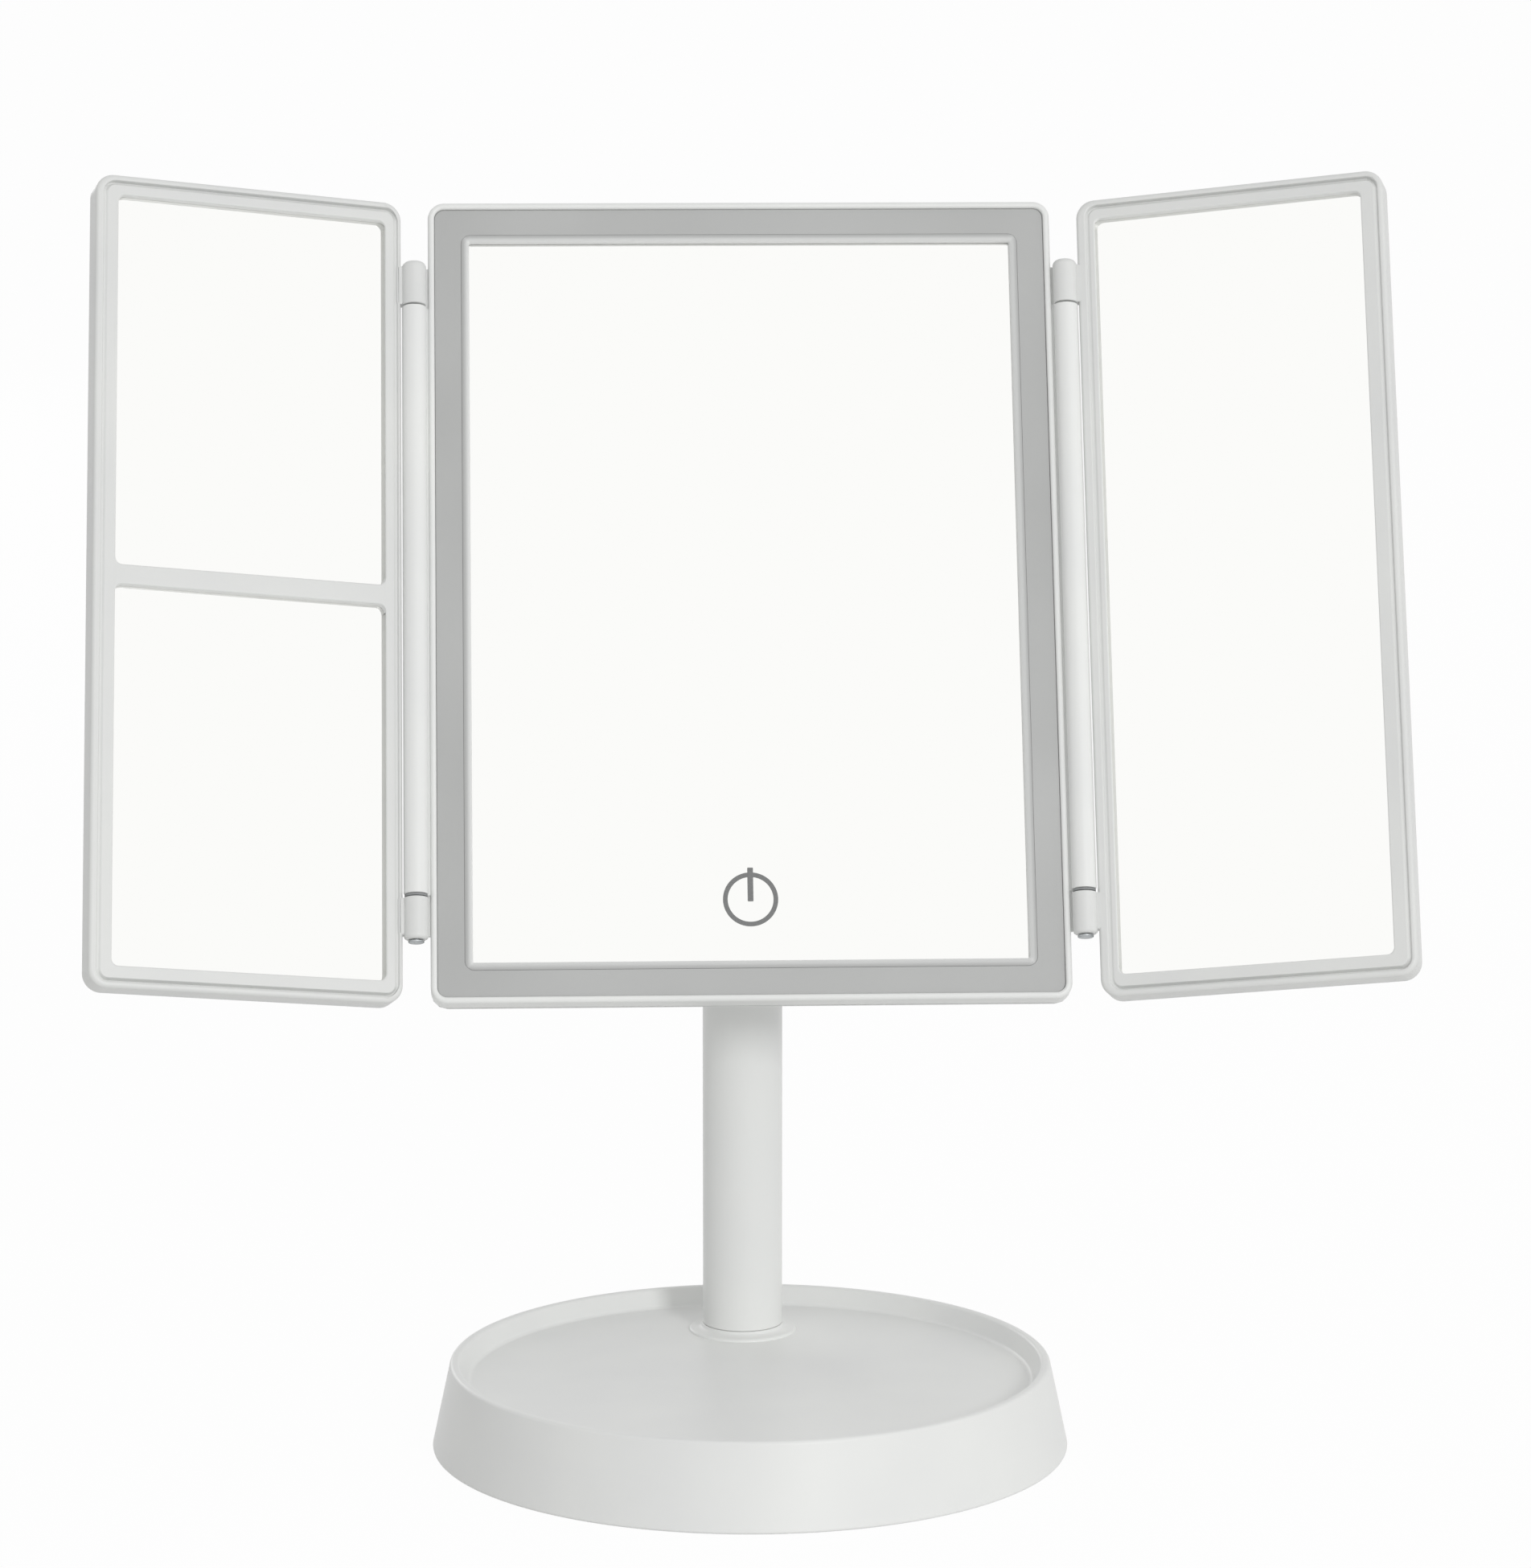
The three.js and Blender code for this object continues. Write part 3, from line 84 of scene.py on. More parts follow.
acrossX, backY, upZ = np.eye(3)
panelUp = np.array(joints["left_wing_fold"]["axis"], float)
panelBack = np.array(joints["battery_door_lift"]["axis"], float)
leftHinge = np.array(joints["left_wing_fold"]["pos_m"], float)
rightHinge = np.array(joints["right_wing_fold"]["pos_m"], float)
tiltPivot = np.array(joints["panel_tilt"]["pos_m"], float)
foldGap = 0.6  # the hinge axes lie this far in front of the panel's front plane
knuckleReach = 3.05  # a wing frame's points this near its hinge axis belong to a knuckle
world = makePlace((0, 0, 0), acrossX, backY, upZ)
stem = makePlace((tiltPivot[0], tiltPivot[1], 0), acrossX, backY, upZ)
panelOrigin = (leftHinge + rightHinge) / 2 + panelBack * foldGap * mm
panel = makePlace(panelOrigin, acrossX, panelBack, panelUp)
hingePlaces = {
    "left": makePlace(leftHinge, acrossX, panelBack, panelUp),
    "right": makePlace(rightHinge, acrossX, panelBack, panelUp),
}


def wingPlace(side, hinge, jointName):
    # the panel's axes turned about its up axis by the wing's rest angle, which is as far as
    # its joint turns back
    turn = math.radians(-joints[jointName]["range_deg"][0])
    across = math.cos(turn) * acrossX - side * math.sin(turn) * panelBack
    back = side * math.sin(turn) * acrossX + math.cos(turn) * panelBack
    return makePlace(hinge, across, back, panelUp)


leftWing = wingPlace(-1, leftHinge, "left_wing_fold")
rightWing = wingPlace(1, rightHinge, "right_wing_fold")


# Surfaces

smallestCorner = 0.15


def filleted(points, radii, steps=5):
    # each corner of a section becomes an arc that touches both of its sides; further
    # columns of a point are carried along unchanged. The small limits keep straight
    # corners and doubled points from a division by zero.
    points = np.asarray(points, float)
    radii = np.asarray(radii, float)[:, None]
    flat = points[:, :2]
    before = np.roll(flat, 1, 0) - flat
    after = np.roll(flat, -1, 0) - flat
    before /= np.linalg.norm(before, axis=1, keepdims=True)
    after /= np.linalg.norm(after, axis=1, keepdims=True)
    half = np.arccos(np.clip((before * after).sum(1, keepdims=True), -0.9999, 0.9999)) / 2
    middle = before + after
    middle /= np.maximum(np.linalg.norm(middle, axis=1, keepdims=True), 1e-9)
    centre = flat + middle * radii / np.sin(half)
    first = flat + before * radii / np.tan(half) - centre
    last = flat + after * radii / np.tan(half) - centre
    sweep = np.maximum(np.pi - 2 * half, 1e-6)[:, :, None]
    share = np.linspace(0, 1, steps + 1)[None, :, None]
    fromFirst = first[:, None] * np.sin((1 - share) * sweep)
    fromLast = last[:, None] * np.sin(share * sweep)
    arc = (fromFirst + fromLast) / np.sin(sweep) + centre[:, None]
    extra = np.repeat(points[:, None, 2:], steps + 1, 1)
    row = np.concatenate([arc, extra], 2).reshape(-1, points.shape[1])
    gap = np.linalg.norm(row - np.roll(row, 1, 0), axis=1)
    return row[gap > 1e-5]


def rectRings(section, halfWidth, halfHeight, radius, steps=12):
    # a section point (inset, depth) becomes a ring: four quarter circles about the
    # corner centres of a rectangle that is smaller by the inset, at that depth; further
    # columns are the corner radius, the rectangle's shift and gain in half width, and
    # its shift and gain in half height
    section = np.asarray(section, float)
    inset, depth = section[:, :1], section[:, 1:2]
    if section.shape[1] > 2:
        corner = section[:, 2:3]
    else:
        corner = np.maximum(radius - inset, smallestCorner)
    own = section[:, 3:7] if section.shape[1] > 3 else np.zeros((len(section), 4))
    shiftX, gainX, shiftZ, gainZ = own.T[:, :, None]
    turn = cornerTurns(steps)
    signX = np.repeat([1, -1, -1, 1], steps)
    signZ = np.repeat([1, 1, -1, -1], steps)
    x = signX * (halfWidth + gainX - inset - corner) + corner * np.cos(turn) + shiftX
    z = signZ * (halfHeight + gainZ - inset - corner) + corner * np.sin(turn) + shiftZ
    return np.stack([x, np.broadcast_to(depth, x.shape), z], -1)


def cornerTurns(steps):
    # the angle at each point of a ring, quarter circle after quarter circle
    return (np.arange(4)[:, None] + np.linspace(0, 1, steps)).ravel() * math.pi / 2


def turnedRings(profile, steps=96):
    # each profile point (radius, height) goes round the up axis as a circle
    profile = np.asarray(profile, float)
    turn = np.linspace(0, 2 * math.pi, steps, endpoint=False)
    x = profile[:, :1] * np.cos(turn)
    y = profile[:, :1] * np.sin(turn)
    return np.stack([x, y, np.broadcast_to(profile[:, 1:2], x.shape)], -1)


def gridFaces(rows, columns, looped):
    # quads between each ring and the next, the last column joined to the first
    down = np.arange(rows if looped else rows - 1)[:, None]
    right = np.arange(columns)[None, :]
    nextDown = (down + 1) % rows
    nextRight = (right + 1) % columns
    corners = [down * columns + right, down * columns + nextRight,
               nextDown * columns + nextRight, nextDown * columns + right]
    return np.stack([np.broadcast_to(c, (len(down), columns)) for c in corners], -1).reshape(-1, 4)


def skin(rings, looped):
    rows, columns = rings.shape[:2]
    faces = gridFaces(rows, columns, looped).tolist()
    if not looped:
        faces.append(list(range(columns)))
        faces.append(list(range((rows - 1) * columns, rows * columns)))
    return rings.reshape(-1, 3), faces


def joinedSkins(*parts):
    points, faces, start = [], [], 0
    for partPoints, partFaces in parts:
        points.append(partPoints)
        faces.extend([[corner + start for corner in face] for face in partFaces])
        start += len(partPoints)
    return np.concatenate(points), faces


def moved(part, offset):
    return part[0] + np.asarray(offset, float), part[1]


# Pieces

# merging distances in metres, angles in degrees
meshSettings = {"merge": 1e-7, "nodeMerge": 2e-6, "flatAngle": 0.5, "easedAngle": 40,
                "easedSegments": 2}


def addObject(name, data):
    holder = bpy.data.objects.new(name, data)
    bpy.context.scene.collection.objects.link(holder)
    return holder


def makePiece(name, part, place, body, material, replaced=(), sharpAngle=38):
    points, faces = part
    mesh = bpy.data.meshes.new(name)
    mesh.from_pydata(toWorld(place, points).tolist(), [], faces)
    shape = bmesh.new()
    shape.from_mesh(mesh)
    bmesh.ops.remove_doubles(shape, verts=shape.verts, dist=meshSettings["merge"])
    bmesh.ops.dissolve_degenerate(shape, edges=shape.edges, dist=meshSettings["merge"])
    bmesh.ops.recalc_face_normals(shape, faces=shape.faces)
    shape.to_mesh(mesh)
    shape.free()
    return dressPiece(addObject(name, mesh), body, material, replaced, sharpAngle)


def dressPiece(piece, body, material, replaced, sharpAngle):
    # even smooth shading, one finish, the body it rides on and the nodes it stands for
    piece.data.shade_smooth()
    piece.data.set_sharp_from_angle(angle=math.radians(sharpAngle))
    even = piece.modifiers.new("evenShading", "WEIGHTED_NORMAL")
    even.keep_sharp = True
    piece.data.materials.clear()
    piece.data.materials.append(material)
    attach(piece, body)
    if replaced:
        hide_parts(*replaced)
    return piece


def copyNode(name, body, material, edge):
    # a node's own solid with its doubles merged, flat facets joined and edges eased
    s = meshSettings
    mesh = nodes[name].data.copy()
    shape = bmesh.new()
    shape.from_mesh(mesh)
    bmesh.ops.remove_doubles(shape, verts=shape.verts, dist=s["nodeMerge"])
    bmesh.ops.dissolve_limit(shape, angle_limit=math.radians(s["flatAngle"]),
                             verts=shape.verts, edges=shape.edges)
    shape.to_mesh(mesh)
    shape.free()
    piece = addObject(name + ".fine", mesh)
    eased = piece.modifiers.new("easedEdges", "BEVEL")
    eased.width = edge * mm
    eased.segments = s["easedSegments"]
    eased.limit_method = "ANGLE"
    eased.angle_limit = math.radians(s["easedAngle"])
    eased.harden_normals = False
    return dressPiece(piece, body, material, (name,), sharpAngle=32)


# Materials

def linearColour(hexColour):
    # sRGB undone: c / 12.92 for the darkest values, otherwise ((c + 0.055) / 1.055) ^ 2.4
    value = np.array([int(hexColour[i:i + 2], 16) for i in (1, 3, 5)]) / 255
    curve = np.where(value <= 0.04045, value / 12.92, ((value + 0.055) / 1.055) ** 2.4)
    return (*curve.tolist(), 1.0)


def addNode(tree, kind, settings=None, links=None):
    # a setting goes to the input of that name or number, or else to the node's property
    node = tree.nodes.new(kind)
    for key, value in (settings or {}).items():
        if isinstance(key, int) or key in node.inputs:
            node.inputs[key].default_value = value
        else:
            setattr(node, key, value)
    for key, source in (links or {}).items():
        tree.links.new(source, node.inputs[key])
    return node


def maths(tree, operation, first, second=None):
    # the second value is a number, another node's output or left out
    settings, links = {"operation": operation}, {0: first}
    if isinstance(second, float):
        settings[1] = second
    elif second is not None:
        links[1] = second
    return addNode(tree, "ShaderNodeMath", settings, links).outputs[0]


def alongAxis(tree, place, axis):
    settings = {"operation": "DOT_PRODUCT", 1: axis}
    return addNode(tree, "ShaderNodeVectorMath", settings, {0: place}).outputs["Value"]


def startMaterial(name, colour, roughness, metallic=0.0, ior=1.5):
    material = bpy.data.materials.new(name)
    material.use_nodes = True
    tree = material.node_tree
    shader = tree.nodes["Principled BSDF"]
    shader.inputs["Base Color"].default_value = linearColour(colour)
    shader.inputs["Roughness"].default_value = roughness
    shader.inputs["Metallic"].default_value = metallic
    if not metallic:
        shader.inputs["IOR"].default_value = ior
    place = addNode(tree, "ShaderNodeTexCoord").outputs["Object"]
    return material, tree, shader, place


def feed(tree, shader, sources):
    for key, source in sources.items():
        tree.links.new(source, shader.inputs[key])


def noise(tree, place, sizeMm, detail=3.0, roughness=0.5):
    # a noise texture whose largest blobs are about the given size
    settings = {"Scale": 1000 / sizeMm, "Detail": detail, "Roughness": roughness}
    return addNode(tree, "ShaderNodeTexNoise", settings, {"Vector": place}).outputs["Fac"]


def ramp(tree, source, low=0.0, high=1.0, fromLow=0.3, fromHigh=0.7):
    settings = {"From Min": fromLow, "From Max": fromHigh, "To Min": low, "To Max": high}
    return addNode(tree, "ShaderNodeMapRange", settings, {"Value": source}).outputs["Result"]


def blendColours(tree, factor, first, second):
    # inputs 6 and 7 and output 2 of the mix node are its colours
    settings = {"data_type": "RGBA", 6: linearColour(first), 7: linearColour(second)}
    return addNode(tree, "ShaderNodeMix", settings, {0: factor}).outputs[2]


def bump(tree, height, strength, distanceMm):
    settings = {"Strength": strength, "Distance": distanceMm * mm}
    return addNode(tree, "ShaderNodeBump", settings, {"Height": height}).outputs["Normal"]


def mouldedAbs(name, darker, lighter):
    # white injection-moulded ABS: even satin gloss, a faint cloudiness where the melt has
    # flowed and the tool's spark texture, drawn coarser than the real 0.1 mm
    material, tree, shader, place = startMaterial(name, lighter, roughness=0.4, ior=1.54)
    shader.inputs["Specular IOR Level"].default_value = 0.35
    cloud = noise(tree, place, sizeMm=38, detail=2)
    grain = noise(tree, place, sizeMm=0.9, detail=4, roughness=0.6)
    feed(tree, shader, {
        "Base Color": blendColours(tree, ramp(tree, cloud), darker, lighter),
        "Roughness": ramp(tree, grain, low=0.35, high=0.45),
        "Normal": bump(tree, grain, strength=0.25, distanceMm=0.02),
    })
    return material


def frostedAcrylic(halfWidth, halfHeight, ringWidth):
    # the milky ring that holds the mirror: matte, its colour painted light at its inner edge beside the glass and
    # painted grey shade where it meets the opal band
    material, tree, shader, place = startMaterial("frostedAcrylic", "#d2d3d2", 0.5, ior=1.49)
    past = []
    for axis, half in ((acrossX, halfWidth), (panelUp, halfHeight)):
        middle = float(panel["origin"] @ axis)
        centred = maths(tree, "SUBTRACT", alongAxis(tree, place, axis.tolist()), middle)
        past.append(maths(tree, "SUBTRACT", maths(tree, "ABSOLUTE", centred), half * mm))
    # how far past the opening's edge, whichever of the two ways is more
    paintedShadeOutwards = ramp(tree, maths(tree, "MAXIMUM", *past), fromLow=0, fromHigh=ringWidth * mm)
    grain = noise(tree, place, sizeMm=0.6, roughness=0.6)
    feed(tree, shader, {
        # painted light and shade: light at the glass, darker grey outwards to the band
        "Base Color": blendColours(tree, paintedShadeOutwards, "#e4e5e4", "#acadac"),
        "Normal": bump(tree, grain, strength=0.2, distanceMm=0.015),
    })
    return material


def opalAcrylic():
    # unlit opal acrylic: grey because little light comes back from the box behind it,
    # with a fine matte skin
    material, tree, shader, place = startMaterial("opalAcrylic", "#b7b8b7", 0.42, ior=1.49)
    cloud = noise(tree, place, sizeMm=60, detail=2)
    grain = noise(tree, place, sizeMm=0.7, roughness=0.6)
    feed(tree, shader, {
        "Base Color": blendColours(tree, ramp(tree, cloud), "#b2b3b2", "#bcbdbc"),
        "Roughness": ramp(tree, grain, low=0.38, high=0.48),
        "Normal": bump(tree, grain, strength=0.2, distanceMm=0.015),
    })
    return material


def silveredGlass():
    # float glass silvered on its back: a clean mirror with the least haze of wiping
    material, tree, shader, place = startMaterial("silveredGlass", "#fbfbf9", 0.015, metallic=1.0)
    haze = noise(tree, place, sizeMm=25)
    wiped = ramp(tree, haze, low=0.006, high=0.03, fromLow=0.45, fromHigh=0.8)
    feed(tree, shader, {"Roughness": wiped})
    return material


def printedInk():
    # grey screen-printed ink on the glass, flat and slightly uneven in tone
    material, tree, shader, place = startMaterial("printedInk", "#787979", roughness=0.55)
    grain = noise(tree, place, sizeMm=0.4, detail=2)
    tone = blendColours(tree, ramp(tree, grain), "#747575", "#7e7f7f")
    feed(tree, shader, {"Base Color": tone})
    return material


def evaFoam():
    # closed-cell EVA sheet: matte, with small open cells on its cut face
    material, tree, shader, place = startMaterial("evaFoam", "#cfd1d0", roughness=0.92)
    cellMm = 0.8
    cells = addNode(tree, "ShaderNodeTexVoronoi", {"Scale": 1000 / cellMm}, {"Vector": place})
    walls = cells.outputs["Distance"]
    # painted shade: each cell's hollow middle is darker
    shade = ramp(tree, walls, fromLow=0.1, fromHigh=0.6)
    feed(tree, shader, {
        "Base Color": blendColours(tree, shade, "#c6c8c7", "#d6d8d7"),
        "Normal": bump(tree, walls, strength=0.5, distanceMm=0.08),
    })
    return material


def drawnSteel(name, colour, roughness, scratchMm):
    # bright steel with fine lines left by drawing or turning
    material, tree, shader, place = startMaterial(name, colour, roughness, metallic=1.0)
    stretch = {"Scale": (1, 1, 0.12)}
    stretched = addNode(tree, "ShaderNodeMapping", stretch, {"Vector": place}).outputs["Vector"]
    lines = noise(tree, stretched, scratchMm, detail=4, roughness=0.6)
    feed(tree, shader, {
        "Roughness": ramp(tree, lines, low=roughness * 0.75, high=roughness * 1.3),
        "Normal": bump(tree, lines, strength=0.2, distanceMm=0.01),
    })
    return material


def maskedBoard(name, first, second, trackMm):
    # solder mask over copper tracks: slightly raised bands in a second tone
    material, tree, shader, place = startMaterial(name, first, roughness=0.35)
    settings = {"Scale": 1000 / trackMm, "wave_type": "BANDS", "bands_direction": "X",
                "Distortion": 3.0}
    tracks = addNode(tree, "ShaderNodeTexWave", settings, {"Vector": place}).outputs["Fac"]
    edge = ramp(tree, tracks, fromLow=0.55, fromHigh=0.62)
    feed(tree, shader, {
        "Base Color": blendColours(tree, edge, first, second),
        "Normal": bump(tree, edge, strength=0.3, distanceMm=0.035),
    })
    return material


def cellSleeve():
    # printed shrink sleeve of a dry cell, left without any print: two plain tones
    material, tree, shader, place = startMaterial("cellSleeve", "#6b7075", 0.3, metallic=0.3)
    grain = noise(tree, place, sizeMm=3)
    tone = blendColours(tree, ramp(tree, grain), "#62676c", "#747a7f")
    feed(tree, shader, {"Base Color": tone})
    return material


def mouldedNylon(name, darker, lighter):
    # nylon: dull and faintly mottled by its filler
    material, tree, shader, place = startMaterial(name, darker, roughness=0.55)
    grain = noise(tree, place, sizeMm=0.8)
    feed(tree, shader, {
        "Base Color": blendColours(tree, ramp(tree, grain), darker, lighter),
        "Roughness": ramp(tree, grain, low=0.5, high=0.65),
    })
    return material


finishes = {
    # one white ABS in two copies: the lighter copy on the stand and centre frame is painted light, the darker copy
    # on the cover, door and wings is painted shade
    "abs": mouldedAbs("mouldedAbs", "#e9eae9", "#eeefed"),
    "paintedShadeAbs": mouldedAbs("mouldedAbsPaintedShade", "#dedfde", "#e3e4e2"),
    "opal": opalAcrylic(),
    "glass": silveredGlass(),
    "ink": printedInk(),
    "foam": evaFoam(),
    "weight": drawnSteel("hotRolledSteel", "#7d8083", 0.5, scratchMm=2.0),
    "zinc": drawnSteel("zincPlatedSteel", "#b4b8bc", 0.38, scratchMm=0.5),
    "plated": drawnSteel("nickelPlatedSteel", "#c3c6c8", 0.25, scratchMm=0.4),
    "spring": drawnSteel("springSteel", "#cfd2d3", 0.22, scratchMm=0.4),
    "pin": drawnSteel("phosphatedSteel", "#b9bcbe", 0.5, scratchMm=0.4),
    "lightStrip": maskedBoard("whiteMaskedBoard", "#eceee9", "#e2e5de", trackMm=1.6),
    "circuit": maskedBoard("greenMaskedBoard", "#2c6a43", "#3a7d52", trackMm=1.2),
    "cell": cellSleeve(),
    "nylon": mouldedNylon("blackNylon", "#28292a", "#333435"),
    "greyNylon": mouldedNylon("greyNylon", "#8b8d8e", "#989a9b"),
}
print("finishes ready:", len(finishes))


# Screws

# the recess and the top's flat and round are shares of the head's radius or height
screwSettings = {"recessWidth": 0.3, "recessReach": 0.62, "recessDepth": 0.45,
                 "recessSlope": 0.12, "crossTurn": (0.3, 0.5, 0.8), "topFlat": 0.5,
                 "topRound": 0.3, "topRoundMost": 0.9, "topLayer": 0.001, "tipRound": 0.3,
                 "underRound": 0.05, "rings": 18, "steps": 96}


def screw(name, node, headWay, body, shankRadius, finish, headHeight):
    # a turned head and shank; the head's top sinks along a cross, whose depth is the product
    # of two ramps: one across each arm's width and one at its end
    s = screwSettings
    points = nodePoints(node)
    up = np.array(headWay, float)
    across = np.cross(up, s["crossTurn"])
    across /= np.linalg.norm(across)
    place = makePlace((points.min(0) + points.max(0)) / 2, across, np.cross(up, across), up)
    own = toLocal(place, points)
    radius = np.hypot(own[:, 0], own[:, 1]).max()
    top, bottom = own[:, 2].max(), own[:, 2].min()
    under = top - headHeight
    section = [(0, bottom), (shankRadius, bottom), (shankRadius, under), (radius, under),
               (radius, top), (radius * s["topFlat"], top)]
    topRound = min(s["topRound"] * radius, headHeight * s["topRoundMost"])
    radii = [0, shankRadius * s["tipRound"], s["underRound"], s["underRound"], topRound, 0]
    profile = filleted(section, radii)
    inwards = np.linspace(profile[-1, 0], 0, s["rings"])[1:]
    flatTop = np.stack([inwards, np.full(len(inwards), top)], -1)
    rings = turnedRings(np.concatenate([profile, flatTop]), s["steps"])
    narrow, wide = np.sort(np.abs(rings[:, :, :2]), axis=2).transpose(2, 0, 1) / radius
    sides = np.clip((s["recessWidth"] / 2 - narrow) / s["recessSlope"] + 0.5, 0, 1)
    ends = np.clip((s["recessReach"] - wide) / s["recessSlope"] + 0.5, 0, 1)
    onTop = rings[:, :, 2] > top - s["topLayer"]
    rings[:, :, 2] -= s["recessDepth"] * headHeight * sides * ends * onTop
    makePiece(name, skin(rings, looped=True), place, body, finish, (node,), sharpAngle=30)


# Base

baseSettings = {"wall": 2.2, "rimRound": 1.05, "rimRoundShare": 0.98, "rimLayer": 0.4,
                "wallRun": 2.4, "floorThickness": 2.0, "floorRound": 1.3, "underInset": 1.0,
                "underRound": 1.0, "footInnerRound": 0.3, "footRound": 0.6}


def buildBase():
    s = baseSettings
    low, high = localBox("base_shell", world)
    bottomRadius, shellBottom = high[0], low[2]
    # the stem's collar is the shell's highest point, so the rim is found in its front half
    points = toLocal(world, nodePoints("base_shell"))
    front = points[points[:, 1] < 0]
    rimTop = front[:, 2].max()
    rimPoints = front[front[:, 2] > rimTop - s["rimLayer"]]
    rimRadius = np.hypot(rimPoints[:, 0], rimPoints[:, 1]).max()
    floorTop = mountHeight("tray_floor")
    floorRadius = rimRadius - 2 * s["rimRound"] - s["wallRun"]
    under = floorTop - s["floorThickness"]
    section = [
        (0, under), (floorRadius, under),
        (rimRadius - s["wall"] - s["underInset"], under - s["wall"]),
        (bottomRadius - s["wall"], shellBottom), (bottomRadius, shellBottom),
        (rimRadius, rimTop), (rimRadius - 2 * s["rimRound"], rimTop),
        (floorRadius, floorTop), (0, floorTop),
    ]
    rimRound = s["rimRound"] * s["rimRoundShare"]
    radii = [0, s["underRound"], s["underRound"], s["footInnerRound"], s["footRound"],
             rimRound, rimRound, s["floorRound"], 0]
    tray = skin(turnedRings(filleted(section, radii, steps=6), steps=200), looped=True)
    shell = joinedSkins(tray, stemCollar(floorTop, under))
    makePiece("trayBase", shell, world, "stand", finishes["abs"], ("base_shell",))


collarSettings = {"height": 1.8, "flare": 3.6, "root": 0.5, "foot": 0.7, "lip": 0.35,
                  "lipRise": 0.3, "lipEdge": (0.7, 0.12), "lipTop": 0.3}


def stemCollar(floorTop, under):
    # a low rounded foot, a side that draws in to the stem along a hollow quarter ellipse,
    # and a small lip round the stem
    s = collarSettings
    stemRadius = localBox("stem_tube", stem)[1][0]
    flare = stemRadius + s["flare"]
    foot, lip = s["foot"], s["lip"]
    root, top = under + s["root"], floorTop + s["height"]
    bulge = np.linspace(0, math.pi / 2, 6)
    footX, footZ = flare - foot + foot * np.cos(bulge), floorTop + foot * np.sin(bulge)
    turn = np.linspace(0, math.pi / 2, 9)[1:]
    reach, rise = flare - foot - stemRadius - lip, s["height"] - foot - s["lipRise"]
    sideX, sideZ = flare - foot - reach * np.sin(turn), floorTop + foot + rise * (1 - np.cos(turn))
    edgeShare, edgeDrop = s["lipEdge"]
    profile = np.concatenate([
        [[0, root], [flare, root]], np.stack([footX, footZ], -1), np.stack([sideX, sideZ], -1),
        [[stemRadius + lip * edgeShare, top - edgeDrop], [stemRadius + lip * s["lipTop"], top]],
        [[0, top]],
    ])
    return moved(skin(turnedRings(profile), looped=True), (0, tiltPivot[1] / mm, 0))


stemSettings = {"seat": 0.04, "spigotShare": 0.66, "wall": 1.8, "bore": 20,
                "rounds": [0, 0.5, 0.1, 0.35, 0.4, 0.2, 0.2, 0]}


def buildStem():
    s = stemSettings
    low, high = localBox("stem_tube", stem)
    radius, bottom, top = high[0], low[2], high[2]
    inner, spigot = radius - s["wall"], radius * s["spigotShare"]
    foot = mountHeight("tray_floor") + collarSettings["height"] + s["seat"]
    section = [(0, bottom), (spigot, bottom), (spigot, foot), (radius, foot), (radius, top),
               (inner, top), (inner, top - s["bore"]), (0, top - s["bore"])]
    tube = skin(turnedRings(filleted(section, s["rounds"], steps=4), steps=128), looped=True)
    makePiece("stemTube", tube, stem, "stand", finishes["abs"], ("stem_tube",))


buildBase()
buildStem()
copyNode("stem_head", "stand", finishes["abs"], edge=0.5)
copyNode("base_bottom_cover", "stand", finishes["abs"], edge=0.25)
copyNode("anti_slip_pad", "stand", finishes["foam"], edge=0.15)
for index in range(1, 5):
    screw(f"baseScrew{index}", f"base_screw_{index}", -upZ, "stand", shankRadius=1.5,
          finish=finishes["zinc"], headHeight=1.6)
print("stand ready")


# Centre panel

coverSeam = 0.3  # room between a frame and the front of the cover behind it
panelSettings = {"cornerRadius": 4.0, "wall": 1.5, "lip": 1.6, "ledge": 1.2,
                 "ledgeThickness": 1.2, "ledgeClearance": 0.3, "ledgeSlope": 0.6, "band": 6.65,
                 "bandDrop": 1.0, "bandThickness": 1.2, "bezel": 1.95, "bezelDrop": 0.3,
                 "recess": 2.4, "openingRadius": 0.4, "seam": 0.04,
                 "frameRounds": [0.25, 0.9, 0.65, 0.1, 0.1, 0.1, 0.1, 0.1],
                 "bandRounds": [0.1, 0.2, 0.05, 0.1]}


def buildCentreFrame():
    s = panelSettings
    low, high = localBox("back_cover", panel)
    halfWidth, halfHeight = high[0], (high[2] - low[2]) / 2
    depth = low[1] - coverSeam
    ledgeFront = s["bandDrop"] + s["bandThickness"] + s["ledgeClearance"]
    ledgeBack = ledgeFront + s["ledgeThickness"]
    inner = s["lip"] + s["ledge"]
    section = [
        (0, depth), (0, 0), (s["lip"], 0), (s["lip"], ledgeFront), (inner, ledgeFront),
        (inner, ledgeBack), (s["wall"], ledgeBack + s["ledgeSlope"]), (s["wall"], depth),
    ]
    profile = filleted(section, s["frameRounds"], steps=6)
    parts = [skin(rectRings(profile, halfWidth, halfHeight, s["cornerRadius"]), looped=True)]
    parts += [hingeBarrel(side, halfWidth) for side in (-1, 1)]
    parts += [hingeFlange(side, halfWidth) for side in (-1, 1)]
    shape = joinedSkins(*parts)
    makePiece("centreFrame", shape, panel, "panel", finishes["abs"], ("centre_frame",))
    return halfWidth, halfHeight, depth


barrelSettings = {"webDepth": 0.7, "webOverlap": 0.3, "endInsets": [0, 0.12, 0.35],
                  "endShares": [0.9, 0.97, 1]}


def barrelSizes():
    # distance from the middle, radius and both ends of the frame's hinge barrels
    high = localBox("centre_frame", panel)[1]
    hingeX = (rightHinge[0] - leftHinge[0]) / 2 / mm
    radius = high[0] - hingeX
    points = toLocal(panel, nodePoints("centre_frame"))
    outer = points[points[:, 0] > hingeX + radius / 2]
    return hingeX, radius, outer[:, 2].min(), outer[:, 2].max()


